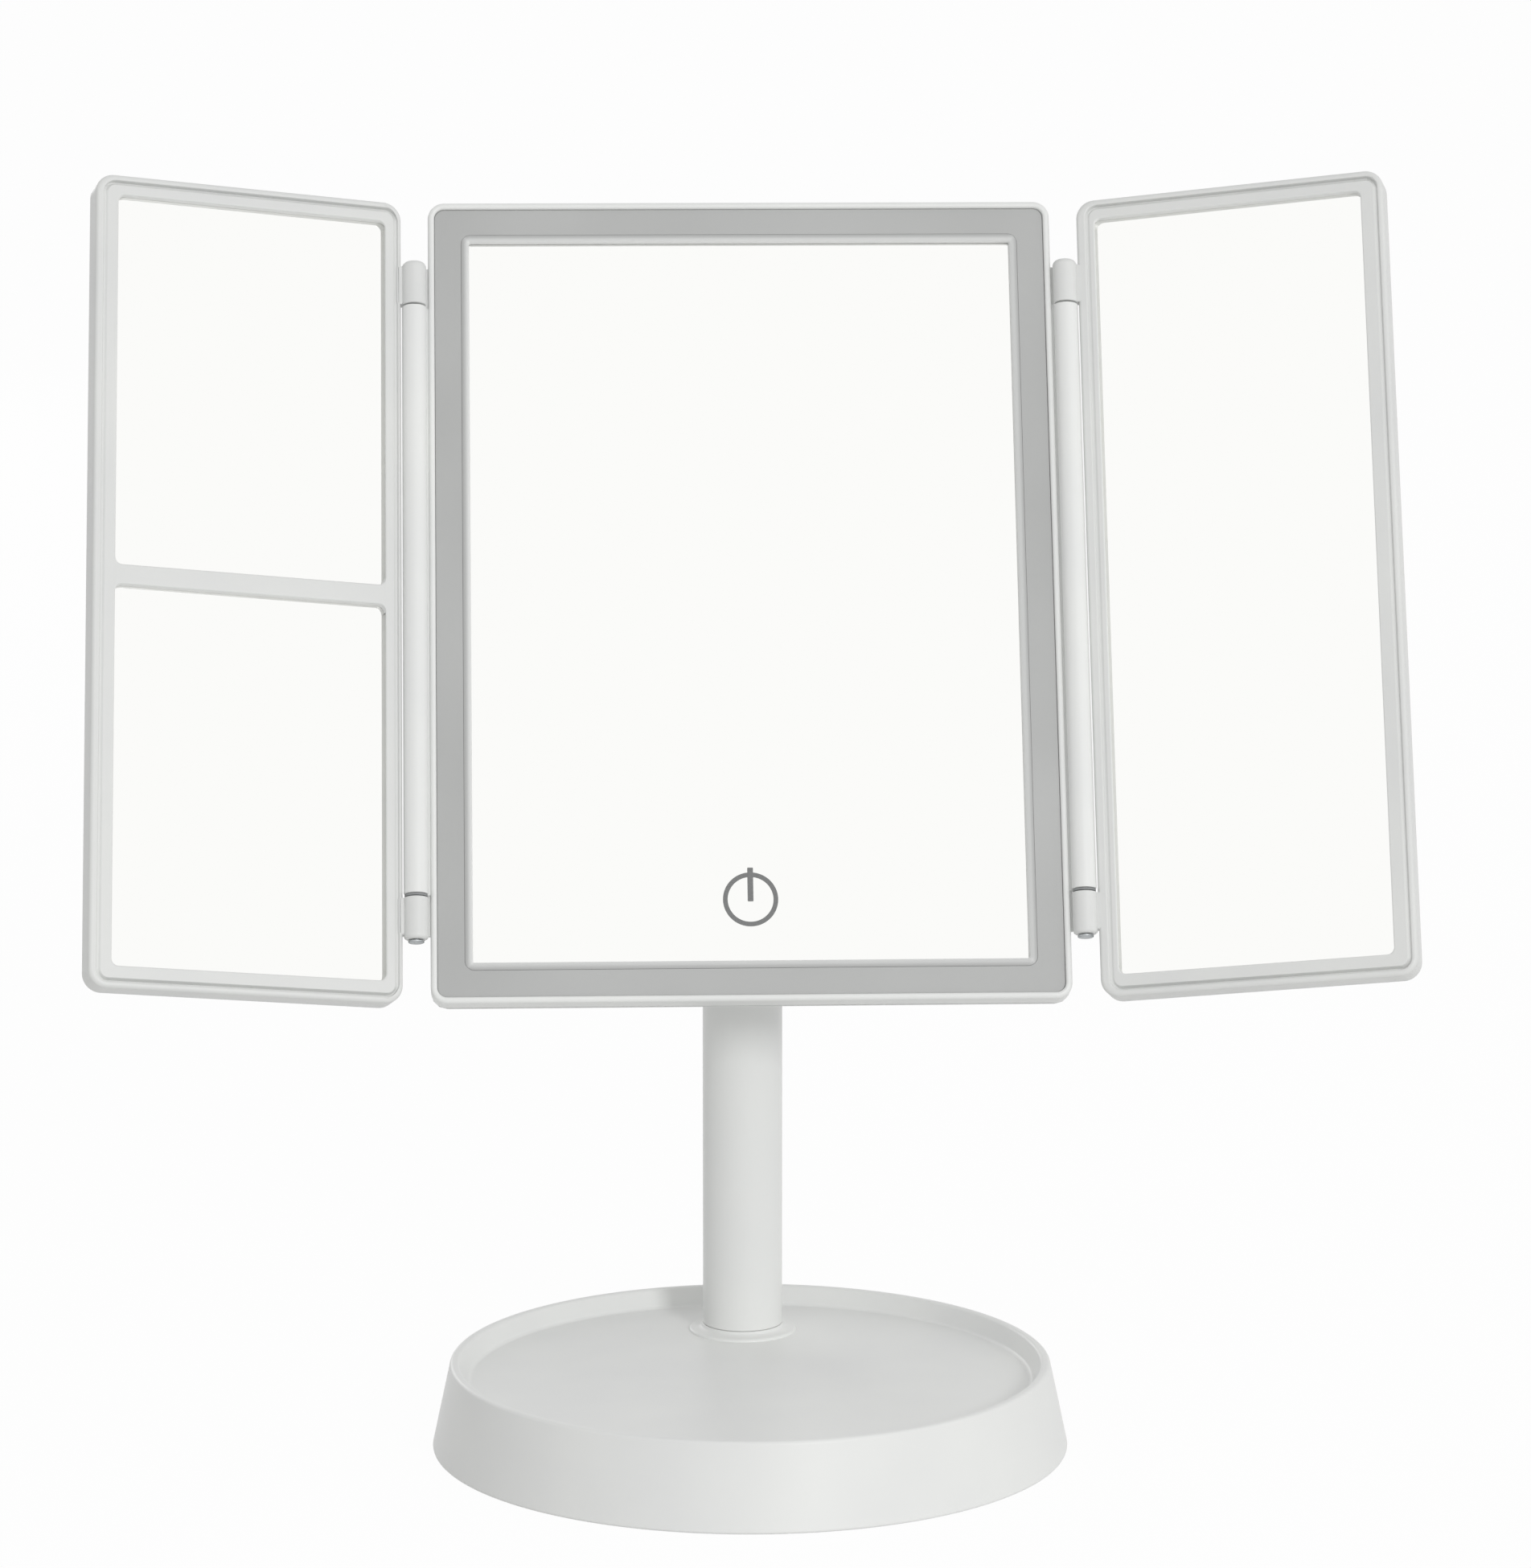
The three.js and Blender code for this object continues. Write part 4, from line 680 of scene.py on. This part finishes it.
def hingeBarrel(side, halfWidth):
    # the outline runs round the barrel to where its web leaves it, a groove's depth behind
    # the frame's front, and is carried up the hinge axis between ends that draw in slightly
    s = barrelSettings
    hingeX, radius, bottom, top = barrelSizes()
    reach = hingeX - halfWidth + s["webOverlap"]
    webFront = foldGap + s["webDepth"]
    turn = np.linspace(math.pi / 2, -math.pi - math.asin(webFront / radius), 46)
    arc = np.stack([radius * np.cos(turn), radius * np.sin(turn)], -1)
    outline = np.concatenate([arc, [[-reach, webFront], [-reach, radius]]])
    insets, shares = np.array(s["endInsets"]), np.array(s["endShares"])
    heights = np.concatenate([bottom + insets, top - insets[::-1]])
    shrink = np.concatenate([shares, shares[::-1]])[:, None]
    x = side * (hingeX + outline[:, 0] * shrink)
    y = -foldGap + outline[:, 1] * shrink
    rings = np.stack([x, y, np.broadcast_to(heights[:, None], x.shape)], -1)
    return skin(rings, looped=False)


flangeSettings = {"inside": 0.4, "reach": 0.65, "front": 0.95, "back": 2.4, "endInset": 1.2,
                  "endBevel": 0.1, "cornerRadius": 0.2}


def hingeFlange(side, halfWidth):
    # a thin strip on the frame's side wall, behind the knuckles and clear of them, that
    # closes the slit between frame and knuckle
    s = flangeSettings
    wing, place = ("left", leftWing) if side < 0 else ("right", rightWing)
    points = toLocal(place, nodePoints(f"{wing}_wing_frame"))
    heights = points[np.hypot(points[:, 0], points[:, 1]) < knuckleReach, 2]
    low, high = heights.min() + s["endInset"], heights.max() - s["endInset"]
    halfX, halfY = (s["reach"] + s["inside"]) / 2, (s["back"] - s["front"]) / 2
    bevel = s["endBevel"]
    section = [(bevel, low), (0, low + bevel), (0, high - bevel), (bevel, high)]
    strip = rectRings(section, halfX, halfY, s["cornerRadius"], steps=4)
    middleX, middleY = halfWidth - s["inside"] + halfX, (s["front"] + s["back"]) / 2
    # the strip's own depth runs up the panel and its height runs back
    x, up, back = strip.transpose(2, 0, 1)
    return skin(np.stack([side * (middleX + x), middleY + back, up], -1), looped=False)


frameHalfWidth, frameHalfHeight, frameDepth = buildCentreFrame()
bandHalfWidth = frameHalfWidth - panelSettings["lip"]
bandHalfHeight = frameHalfHeight - panelSettings["lip"]
openingHalfWidth = bandHalfWidth - panelSettings["band"] - panelSettings["bezel"]
openingHalfHeight = bandHalfHeight - panelSettings["band"] - panelSettings["bezel"]
mirrorFront = panelSettings["bezelDrop"] + panelSettings["recess"]


def buildDiffuser():
    s = panelSettings
    width = s["band"] - 2 * s["seam"]
    front, back = s["bandDrop"], s["bandDrop"] + s["bandThickness"]
    outer = s["cornerRadius"] - s["lip"]
    inner = s["openingRadius"] + s["bezel"] + s["seam"]
    section = [(0, back, outer), (0, front, outer), (width, front, inner), (width, back, inner)]
    profile = filleted(section, s["bandRounds"], steps=4)
    rings = rectRings(profile, bandHalfWidth - s["seam"], bandHalfHeight - s["seam"], outer)
    ring = skin(rings, looped=True)
    makePiece("lightDiffuser", ring, panel, "panel", finishes["opal"], ("light_diffuser",))


# the bezel's face runs from the glass out to the band, and its foot reaches back behind it
bezelSettings = {"glassGap": 0.3, "backReach": 1.5, "footWidth": 1.0, "shoulder": 2.5,
                 "rounds": [0.1, 0.1, 0.1, 0.1, 0.1, 0.1, 0.05, 0.9]}


def buildBezel():
    s = bezelSettings
    bezel = panelSettings["bezel"]
    bandFront = panelSettings["bandDrop"] - panelSettings["seam"]
    back, shoulder = mirrorFront - s["glassGap"], s["shoulder"]
    wide = bezel + s["backReach"]
    foot = wide - s["footWidth"]
    section = [
        (0, back), (-foot, back), (-foot, frameDepth), (-wide, frameDepth), (-wide, shoulder),
        (-bezel, shoulder), (-bezel, bandFront), (0, panelSettings["bezelDrop"]),
    ]
    profile = filleted(section, s["rounds"], steps=6)
    openingRadius = panelSettings["openingRadius"]
    rings = rectRings(profile, openingHalfWidth, openingHalfHeight, openingRadius)
    frosted = frostedAcrylic(openingHalfWidth, openingHalfHeight, bezel)
    makePiece("mirrorBezel", skin(rings, looped=True), panel, "panel", frosted, ("mirror_bezel",))


groundEdge = 0.22


def glassPane(name, place, body, node, cornerRadius):
    # a pane with ground front edges, as large as its node
    low, high = localBox(node, place)
    middle, half = (low + high) / 2, (high - low) / 2
    layers = [(groundEdge, low[1]), (0, low[1] + groundEdge), (0, high[1])]
    pane = skin(rectRings(layers, half[0], half[2], cornerRadius), looped=False)
    pane = moved(pane, (middle[0], 0, middle[2]))
    makePiece(name, pane, place, body, finishes["glass"], (node,), sharpAngle=20)


# the bar is printed a hair thicker than the ring, so that their faces never coincide
iconSettings = {"ringRadius": 6.7, "stroke": 1.15, "barWidth": 1.4, "barTop": 7.9,
                "barBottom": -0.5, "barRound": 0.2, "barExtra": 0.004, "inkThickness": 0.035}


def buildPowerIcon():
    # printed ring and bar: thin raised ink, the ring turned round its centre
    s = iconSettings
    low, high = localBox("touch_sensor_pad", panel)
    centre = (low + high) / 2
    ink, outer = s["inkThickness"], s["ringRadius"]
    inner, front = outer - s["stroke"], mirrorFront - ink
    profile = [(inner, 0), (outer, 0), (outer, ink), (inner, ink)]
    x, up, back = turnedRings(profile).transpose(2, 0, 1)
    ring = np.stack([x + centre[0], front + back, up + centre[2]], -1)
    halfHeight = (s["barTop"] - s["barBottom"]) / 2
    layers = [(0, front - s["barExtra"]), (0, mirrorFront)]
    bar = skin(rectRings(layers, s["barWidth"] / 2, halfHeight, s["barRound"]), looped=False)
    bar = moved(bar, (centre[0], 0, centre[2] + s["barBottom"] + halfHeight))
    symbol = joinedSkins(skin(ring, looped=True), bar)
    makePiece("powerSymbol", symbol, panel, "panel", finishes["ink"])


buildDiffuser()
buildBezel()
glassPane("centreGlass", panel, "panel", "centre_mirror", cornerRadius=2.2)
buildPowerIcon()
copyNode("back_cover", "panel", finishes["paintedShadeAbs"], edge=0.35)
copyNode("battery_door", "battery_door", finishes["paintedShadeAbs"], edge=0.2)
copyNode("power_switch", "power_switch", finishes["nylon"], edge=0.12)
copyNode("charging_socket", "panel", finishes["plated"], edge=0.08)
for index in range(1, 5):
    screw(f"backScrew{index}", f"back_screw_{index}", panelBack, "panel", shankRadius=1.0,
          finish=finishes["zinc"], headHeight=0.9)
screw("pivotBolt", "tilt_axle", -acrossX, "panel", shankRadius=2.5, finish=finishes["plated"],
      headHeight=2.4)
copyNode("tilt_nut", "panel", finishes["plated"], edge=0.25)
for sideName in ("left", "right"):
    copyNode(f"tilt_washer_{sideName}", "panel", finishes["nylon"], edge=0.1)
print("centre panel ready")


# Wings

# a setting with two values has the left wing's under -1 and the right wing's under 1
wingSettings = {
    "cornerRadius": 4.5, "rim": 1.45, "grooveFoot": 1.6, "grooveEnd": 2.05, "field": 2.5,
    "grooveDepth": 1.2, "sideGroove": 0.2, "grooveBefore": 0.4, "grooveAfter": 0.3,
    "grooveUnder": 0.01, "grooveMove": {-1: 0.58, 1: 0.36}, "grooveGain": {-1: 0.08, 1: -0.35},
    "hingeReach": 0.2, "fieldDrop": 0.4, "border": 5.5, "hingeOpening": {-1: 0.5, 1: 0.0},
    "lipBack": 2.42, "undercut": 0.7, "undercutFrom": 0.85, "held": 1.5, "heldByDivider": 1.2,
    "pocket": 1.8, "openingRadius": 1.8, "wall": 1.5, "divider": 5.0, "dividerReach": 0.3,
    "edgeRound": 0.45, "coverInset": 1.8,
    "rounds": [0.6, 0.9, 0.35, 0.12, 0.12, 0.2, 0.35, 0.05, 0.1, 0.1, 0.1, 0.1, 0.15],
}


def openingBox(paneNodes, place):
    # the opening that a wing's panes show through: their box without the edge that is held
    boxes = [localBox(pane, place) for pane in paneNodes]
    heldUp = wingSettings["heldByDivider"] if len(paneNodes) > 1 else wingSettings["held"]
    held = np.array([wingSettings["held"], 0, heldUp])
    low = np.min([box[0] for box in boxes], axis=0) + held
    high = np.max([box[1] for box in boxes], axis=0) - held
    return (low + high) / 2, (high - low) / 2


def wingFrame(name, place, side, body, paneNodes):
    s = wingSettings
    node, backNode = f"{body}_frame", f"{body}_back"
    low, high = localBox(backNode, place)
    halfWidth, _, halfHeight = (high - low) / 2 + s["coverInset"]
    middle = (low + high) / 2
    thickness = localBox(node, place)[1][1]
    coverFront = low[1] - coverSeam
    outer, opening = s["cornerRadius"], s["openingRadius"]
    openingMiddle, openingHalf = openingBox(paneNodes, place)
    rim, foot, end, field = s["rim"], s["grooveFoot"], s["grooveEnd"], s["field"]
    drop, groove = s["fieldDrop"], s["fieldDrop"] + s["grooveDepth"]
    border, lipBack, wall = s["border"], s["lipBack"], s["wall"]
    pocket = border - s["pocket"]
    # the opening is a little wider on the hinge side than the panes ask for
    wider = s["hingeOpening"][side] / 2
    shift = openingMiddle - middle + (-side * wider, 0, 0)
    gain = openingHalf - (halfWidth - border - wider, 0, halfHeight - border)
    # the rim reaches a little further on the hinge side than on the other three
    reach = s["hingeReach"] / 2
    still = (-side * reach, reach, 0, 0)
    grooved = (s["grooveMove"][side], s["grooveGain"][side], 0, 0)
    own = (shift[0], gain[0], shift[2], gain[2])
    # behind its front edge the opening is wider still on the hinge side
    cut = s["undercut"] / 2
    under = (shift[0] - side * cut, gain[0] + cut, shift[2], gain[2])
    section = [
        (0, thickness, outer, *still), (0, 0, outer, *still), (rim, 0, outer - rim, *grooved),
        (foot, groove, outer - foot, *grooved), (end, groove, outer - end, *grooved),
        (field, drop, outer - field, *grooved), (border, drop, opening, *own),
        (border, s["undercutFrom"], opening, *own), (border, lipBack, opening, *under),
        (pocket, lipBack, opening, *own), (pocket, coverFront, opening, *own),
        (wall, coverFront, outer - wall, *still), (wall, thickness, outer - wall, *still),
    ]
    profile = filleted(section, s["rounds"], steps=6)
    rings = rectRings(profile, halfWidth, halfHeight, outer)
    # the groove is shallower along the two sides than along the top and bottom
    upright = np.abs(np.sin(cornerTurns(rings.shape[1] // 4)))
    share = s["sideGroove"] + (1 - s["sideGroove"]) * upright
    inset = profile[:, 0]
    nearGroove = (inset > rim - s["grooveBefore"]) & (inset < field + s["grooveAfter"])
    inGroove = nearGroove & (profile[:, 1] < groove + s["grooveUnder"])
    depth = rings[inGroove, :, 1]
    rings[inGroove, :, 1] = np.minimum(depth, drop + (depth - drop) * share)
    parts = [moved(skin(rings, looped=True), (middle[0], 0, middle[2]))]
    parts += [knuckle(place, side, node, upper) for upper in (True, False)]
    if len(paneNodes) > 1:
        dividerX = openingMiddle[0] - side * wider
        parts.append(divider(openingHalf[0] + wider, dividerX, openingMiddle[2]))
    makePiece(name, joinedSkins(*parts), place, body, finishes["paintedShadeAbs"], (node,))


def divider(halfWidth, x, z):
    # a bar with rounded front edges whose half height grows at both ends by a quarter
    # circle, so that it meets the opening's sides in round corners and ends in the field
    s = wingSettings
    radius, edgeRound = s["openingRadius"], s["edgeRound"]
    turn = np.linspace(0, math.pi / 2, 9)
    flareX = halfWidth - radius + radius * np.sin(turn)
    flareZ = radius * (1 - np.cos(turn))
    reach = halfWidth + s["dividerReach"]
    along = np.concatenate([[-reach], -flareX[::-1], flareX, [reach]])
    grow = np.concatenate([[radius], flareZ[::-1], flareZ, [radius]])
    edge = np.linspace(0, math.pi / 2, 5)
    # from the bar's back edge round its front edge: inset from the side and depth
    insets = np.concatenate([[0], edgeRound * (1 - np.cos(edge))])
    depths = np.concatenate([[s["lipBack"]], s["fieldDrop"] + edgeRound * (1 - np.sin(edge))])
    insets = np.concatenate([insets, insets[::-1]])
    depths = np.concatenate([depths, depths[::-1]])
    sides = np.repeat([1, -1], len(edge) + 1)
    zs = sides * (s["divider"] / 2 + grow[:, None] - insets)
    xs = np.broadcast_to(along[:, None], zs.shape)
    ys = np.broadcast_to(depths, zs.shape)
    return skin(np.stack([xs + x, ys, zs + z], -1), looped=False)


# the arm's layers are pairs of inset and distance from the knuckle's inner or outer end
knuckleSettings = {"radius": 3.0, "topDome": 1.5, "bottomRound": 0.9, "innerRound": 0.35,
                   "armReach": 4.4, "armThickness": 3.0, "armRound": 0.3,
                   "armInner": [(0.15, 0.15), (0, 0.4)], "armOuter": [(0, 1.6), (0.3, 1.2)]}


def knuckle(place, side, node, upper):
    # a turned knuckle with one rounded end, and the arm that ties it to the wing's edge
    s = knuckleSettings
    points = toLocal(place, nodePoints(node))
    near = points[np.hypot(points[:, 0], points[:, 1]) < knuckleReach]
    way = 1 if upper else -1
    heights = way * near[way * near[:, 2] > 0, 2]
    start, length = heights.min(), np.ptp(heights)
    section = [(0, 0), (s["radius"], 0), (s["radius"], length), (0, length)]
    end = s["topDome"] if upper else s["bottomRound"]
    rings = turnedRings(filleted(section, [0, s["innerRound"], end, 0], steps=7), steps=64)
    rings[:, :, 2] = way * (start + rings[:, :, 2])
    layers = s["armInner"] + [(inset, length - below) for inset, below in s["armOuter"]]
    halfReach, halfThickness = s["armReach"] / 2, s["armThickness"] / 2
    arm = rectRings(layers, halfReach, halfThickness, s["armRound"], steps=4)
    x, up, back = arm.transpose(2, 0, 1)
    arm = np.stack([x + side * halfReach, back + halfThickness, way * (start + up)], -1)
    return joinedSkins(skin(rings, looped=True), skin(arm, looped=False))


# the edge's layers are pairs of inset and distance from the back
backSettings = {"cornerRadius": 2.6, "centre": 2, "edge": [(0, 0.35), (0.1, 0.1), (0.4, 0)]}


def wingBack(name, place, body):
    s = backSettings
    node = f"{body}_back"
    low, high = localBox(node, place)
    middle, half = (low + high) / 2, (high - low) / 2
    section = [(s["centre"], low[1]), (0, low[1])]
    section += [(inset, high[1] - before) for inset, before in s["edge"]]
    plate = skin(rectRings(section, half[0], half[2], s["cornerRadius"]), looped=False)
    plate = moved(plate, (middle[0], 0, middle[2]))
    makePiece(name, plate, place, body, finishes["paintedShadeAbs"], (node,))


wingFrame("leftWingFrame", leftWing, -1, "left_wing", ["left_upper_mirror", "left_lower_mirror"])
wingFrame("rightWingFrame", rightWing, 1, "right_wing", ["right_long_mirror"])
glassPane("leftUpperGlass", leftWing, "left_wing", "left_upper_mirror", cornerRadius=1.5)
glassPane("leftLowerGlass", leftWing, "left_wing", "left_lower_mirror", cornerRadius=1.5)
glassPane("rightGlass", rightWing, "right_wing", "right_long_mirror", cornerRadius=1.5)
wingBack("leftWingBack", leftWing, "left_wing")
wingBack("rightWingBack", rightWing, "right_wing")


# Hinge pins and washers

pinSettings = {"radius": 0.9, "headThickness": 0.5, "rounds": [0, 0.2, 0.2, 0],
               "headRounds": [0, 0.3, 0.1, 0.05, 0.2, 0]}


def hingePin(name, node, place, upper):
    # a round pin as long as its node, and at the lower end the flat head that holds it
    s = pinSettings
    low, high = localBox(node, place)
    radius, bottom, top = s["radius"], low[2], high[2]
    if upper:
        section = [(0, bottom), (radius, bottom), (radius, top), (0, top)]
        profile = filleted(section, s["rounds"], steps=4)
    else:
        seat = bottom + s["headThickness"]
        section = [(0, bottom), (high[0], bottom), (high[0], seat), (radius, seat),
                   (radius, top), (0, top)]
        profile = filleted(section, s["headRounds"], steps=4)
    pin = skin(turnedRings(profile, steps=48), looped=True)
    makePiece(name, pin, place, "panel", finishes["pin"], (node,))


washerSettings = {"bore": 1.0, "inset": 0.2, "thickness": 0.5, "clearance": 0.1,
                  "rounds": [0.05, 0.15, 0.15, 0.05]}


def hingeWasher(name, place):
    # a turned ring that fills the gap under the frame's barrel
    s = washerSettings
    _, radius, bottom, _ = barrelSizes()
    bore, outer = s["bore"], radius - s["inset"]
    top = bottom - s["clearance"]
    low = top - s["thickness"]
    section = [(bore, low), (outer, low), (outer, top), (bore, top)]
    profile = filleted(section, s["rounds"], steps=3)
    ring = skin(turnedRings(profile, steps=64), looped=True)
    piece = makePiece(name, ring, place, "panel", finishes["greyNylon"])


for sideName, hingePlace in hingePlaces.items():
    hingePin(f"{sideName}UpperPin", f"{sideName}_hinge_pin_upper", hingePlace, upper=True)
    hingePin(f"{sideName}LowerPin", f"{sideName}_hinge_pin_lower", hingePlace, upper=False)
for sideName, hingePlace in hingePlaces.items():
    hingeWasher(f"{sideName}HingeWasher", hingePlace)
print("wings ready")


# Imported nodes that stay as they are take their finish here

keptFinishes = {
    "weight": ["base_weight"],
    "zinc": ["stem_screw"],
    "plated": ["switch_can"],
    "spring": ["touch_sensor_pad"] + [f"battery_contact_{i}" for i in range(1, 6)],
    "foam": ["mirror_backing"],
    "lightStrip": [f"led_board_{side}" for side in ("top", "bottom", "left", "right")],
    "circuit": ["control_board"],
    "cell": [f"battery_{i}" for i in range(1, 5)],
}
for finishName, names in keptFinishes.items():
    for nodeName in names:
        nodes[nodeName].data.materials.clear()
        nodes[nodeName].data.materials.append(finishes[finishName])
print("kept nodes finished")


# Floor, light and camera

# the soft light is a little stronger from the right, the front and above
stageSettings = {"softLight": 0.55, "softTowards": (0.15, -0.12, 0.09), "background": 1.0,
                 "floorGlow": 0.965, "floorPaper": "#ededec", "floorSize": 80.0}
lampSettings = {
    "keySoftbox": {"place": (0.95, -2.37, 1.05), "aim": (0, 0, 0.15), "size": 0.5, "power": 20},
    "backSoftbox": {"place": (-1.0, 2.30, 0.80), "aim": (0, 0, 0.15), "size": 0.9, "power": 6},
}
white = (1, 1, 1, 1)


def seenRays(tree):
    # 1 for rays from the camera and for rays seen in a reflection or through glass
    path = addNode(tree, "ShaderNodeLightPath").outputs
    seen = maths(tree, "MAXIMUM", path["Is Camera Ray"], path["Is Glossy Ray"])
    return maths(tree, "MAXIMUM", seen, path["Is Transmission Ray"])


def buildWorld():
    # soft light, whose strength is an even part plus the ray's direction along the stronger
    # side, for all rays but the seen ones, which meet plain white
    s = stageSettings
    backdrop = bpy.data.worlds.new("studio")
    bpy.context.scene.world = backdrop
    backdrop.use_nodes = True
    tree = backdrop.node_tree
    tree.nodes.clear()
    way = addNode(tree, "ShaderNodeTexCoord").outputs["Generated"]
    strength = maths(tree, "ADD", alongAxis(tree, way, s["softTowards"]), s["softLight"])
    soft = addNode(tree, "ShaderNodeBackground", {"Color": white}, {"Strength": strength})
    plain = addNode(tree, "ShaderNodeBackground", {"Color": white, "Strength": s["background"]})
    mix = addNode(tree, "ShaderNodeMixShader", {},
                  {0: seenRays(tree), 1: soft.outputs[0], 2: plain.outputs[0]})
    addNode(tree, "ShaderNodeOutputWorld", {}, {"Surface": mix.outputs[0]})


def buildFloor():
    # matte paper that seen rays meet almost as plain white
    s = stageSettings
    half = s["floorSize"] / 2
    corners = [(-half, -half, 0), (half, -half, 0), (half, half, 0), (-half, half, 0)]
    mesh = bpy.data.meshes.new("floor")
    mesh.from_pydata(corners, [], [(0, 1, 2, 3)])
    floor = addObject("floor", mesh)
    paper = bpy.data.materials.new("studioPaper")
    paper.use_nodes = True
    tree = paper.node_tree
    tree.nodes.clear()
    glow = maths(tree, "MULTIPLY", seenRays(tree), s["floorGlow"])
    matte = addNode(tree, "ShaderNodeBsdfDiffuse", {"Color": linearColour(s["floorPaper"])})
    lit = addNode(tree, "ShaderNodeEmission", {"Color": white, "Strength": 1.0})
    mix = addNode(tree, "ShaderNodeMixShader", {},
                  {0: glow, 1: matte.outputs[0], 2: lit.outputs[0]})
    addNode(tree, "ShaderNodeOutputMaterial", {}, {"Surface": mix.outputs[0]})
    floor.data.materials.append(paper)


def aimedMatrix(place, aim):
    # looks along -Z from the place to the aim, with +Y upwards
    place, aim = np.array(place, float), np.array(aim, float)
    back = place - aim
    back /= np.linalg.norm(back)
    across = np.cross((0, 0, 1), back)
    across /= np.linalg.norm(across)
    matrix = np.eye(4)
    matrix[:3] = np.stack([across, np.cross(back, across), back, place], -1)
    return Matrix(matrix.tolist())


def buildLamps():
    for name, s in lampSettings.items():
        lamp = bpy.data.lights.new(name, "AREA")
        lamp.shape = "SQUARE"
        lamp.size = s["size"]
        lamp.energy = s["power"]
        addObject(name, lamp).matrix_world = aimedMatrix(s["place"], s["aim"])


cameraSettings = {"place": (-0.0592, -1.39103, 0.40183), "yaw": -0.0452, "pitch": -0.1687,
                  "roll": -0.0004, "focalPixels": 7264.3, "imageHeight": 1950, "sensor": 36.0}


def buildCamera():
    s = cameraSettings
    data = bpy.data.cameras.new("camera")
    data.sensor_width = s["sensor"]
    data.lens = s["focalPixels"] * s["sensor"] / s["imageHeight"]
    camera = addObject("camera", data)
    turn = Matrix.Rotation(s["yaw"], 4, "Z") @ Matrix.Rotation(s["pitch"], 4, "X")
    turn = turn @ Matrix.Rotation(s["roll"], 4, "Y") @ Matrix.Rotation(math.pi / 2, 4, "X")
    camera.matrix_world = Matrix.Translation(s["place"]) @ turn
    bpy.context.scene.camera = camera


buildWorld()
buildFloor()
buildLamps()
buildCamera()
bpy.context.scene.view_settings.view_transform = "Standard"
print("stage ready")
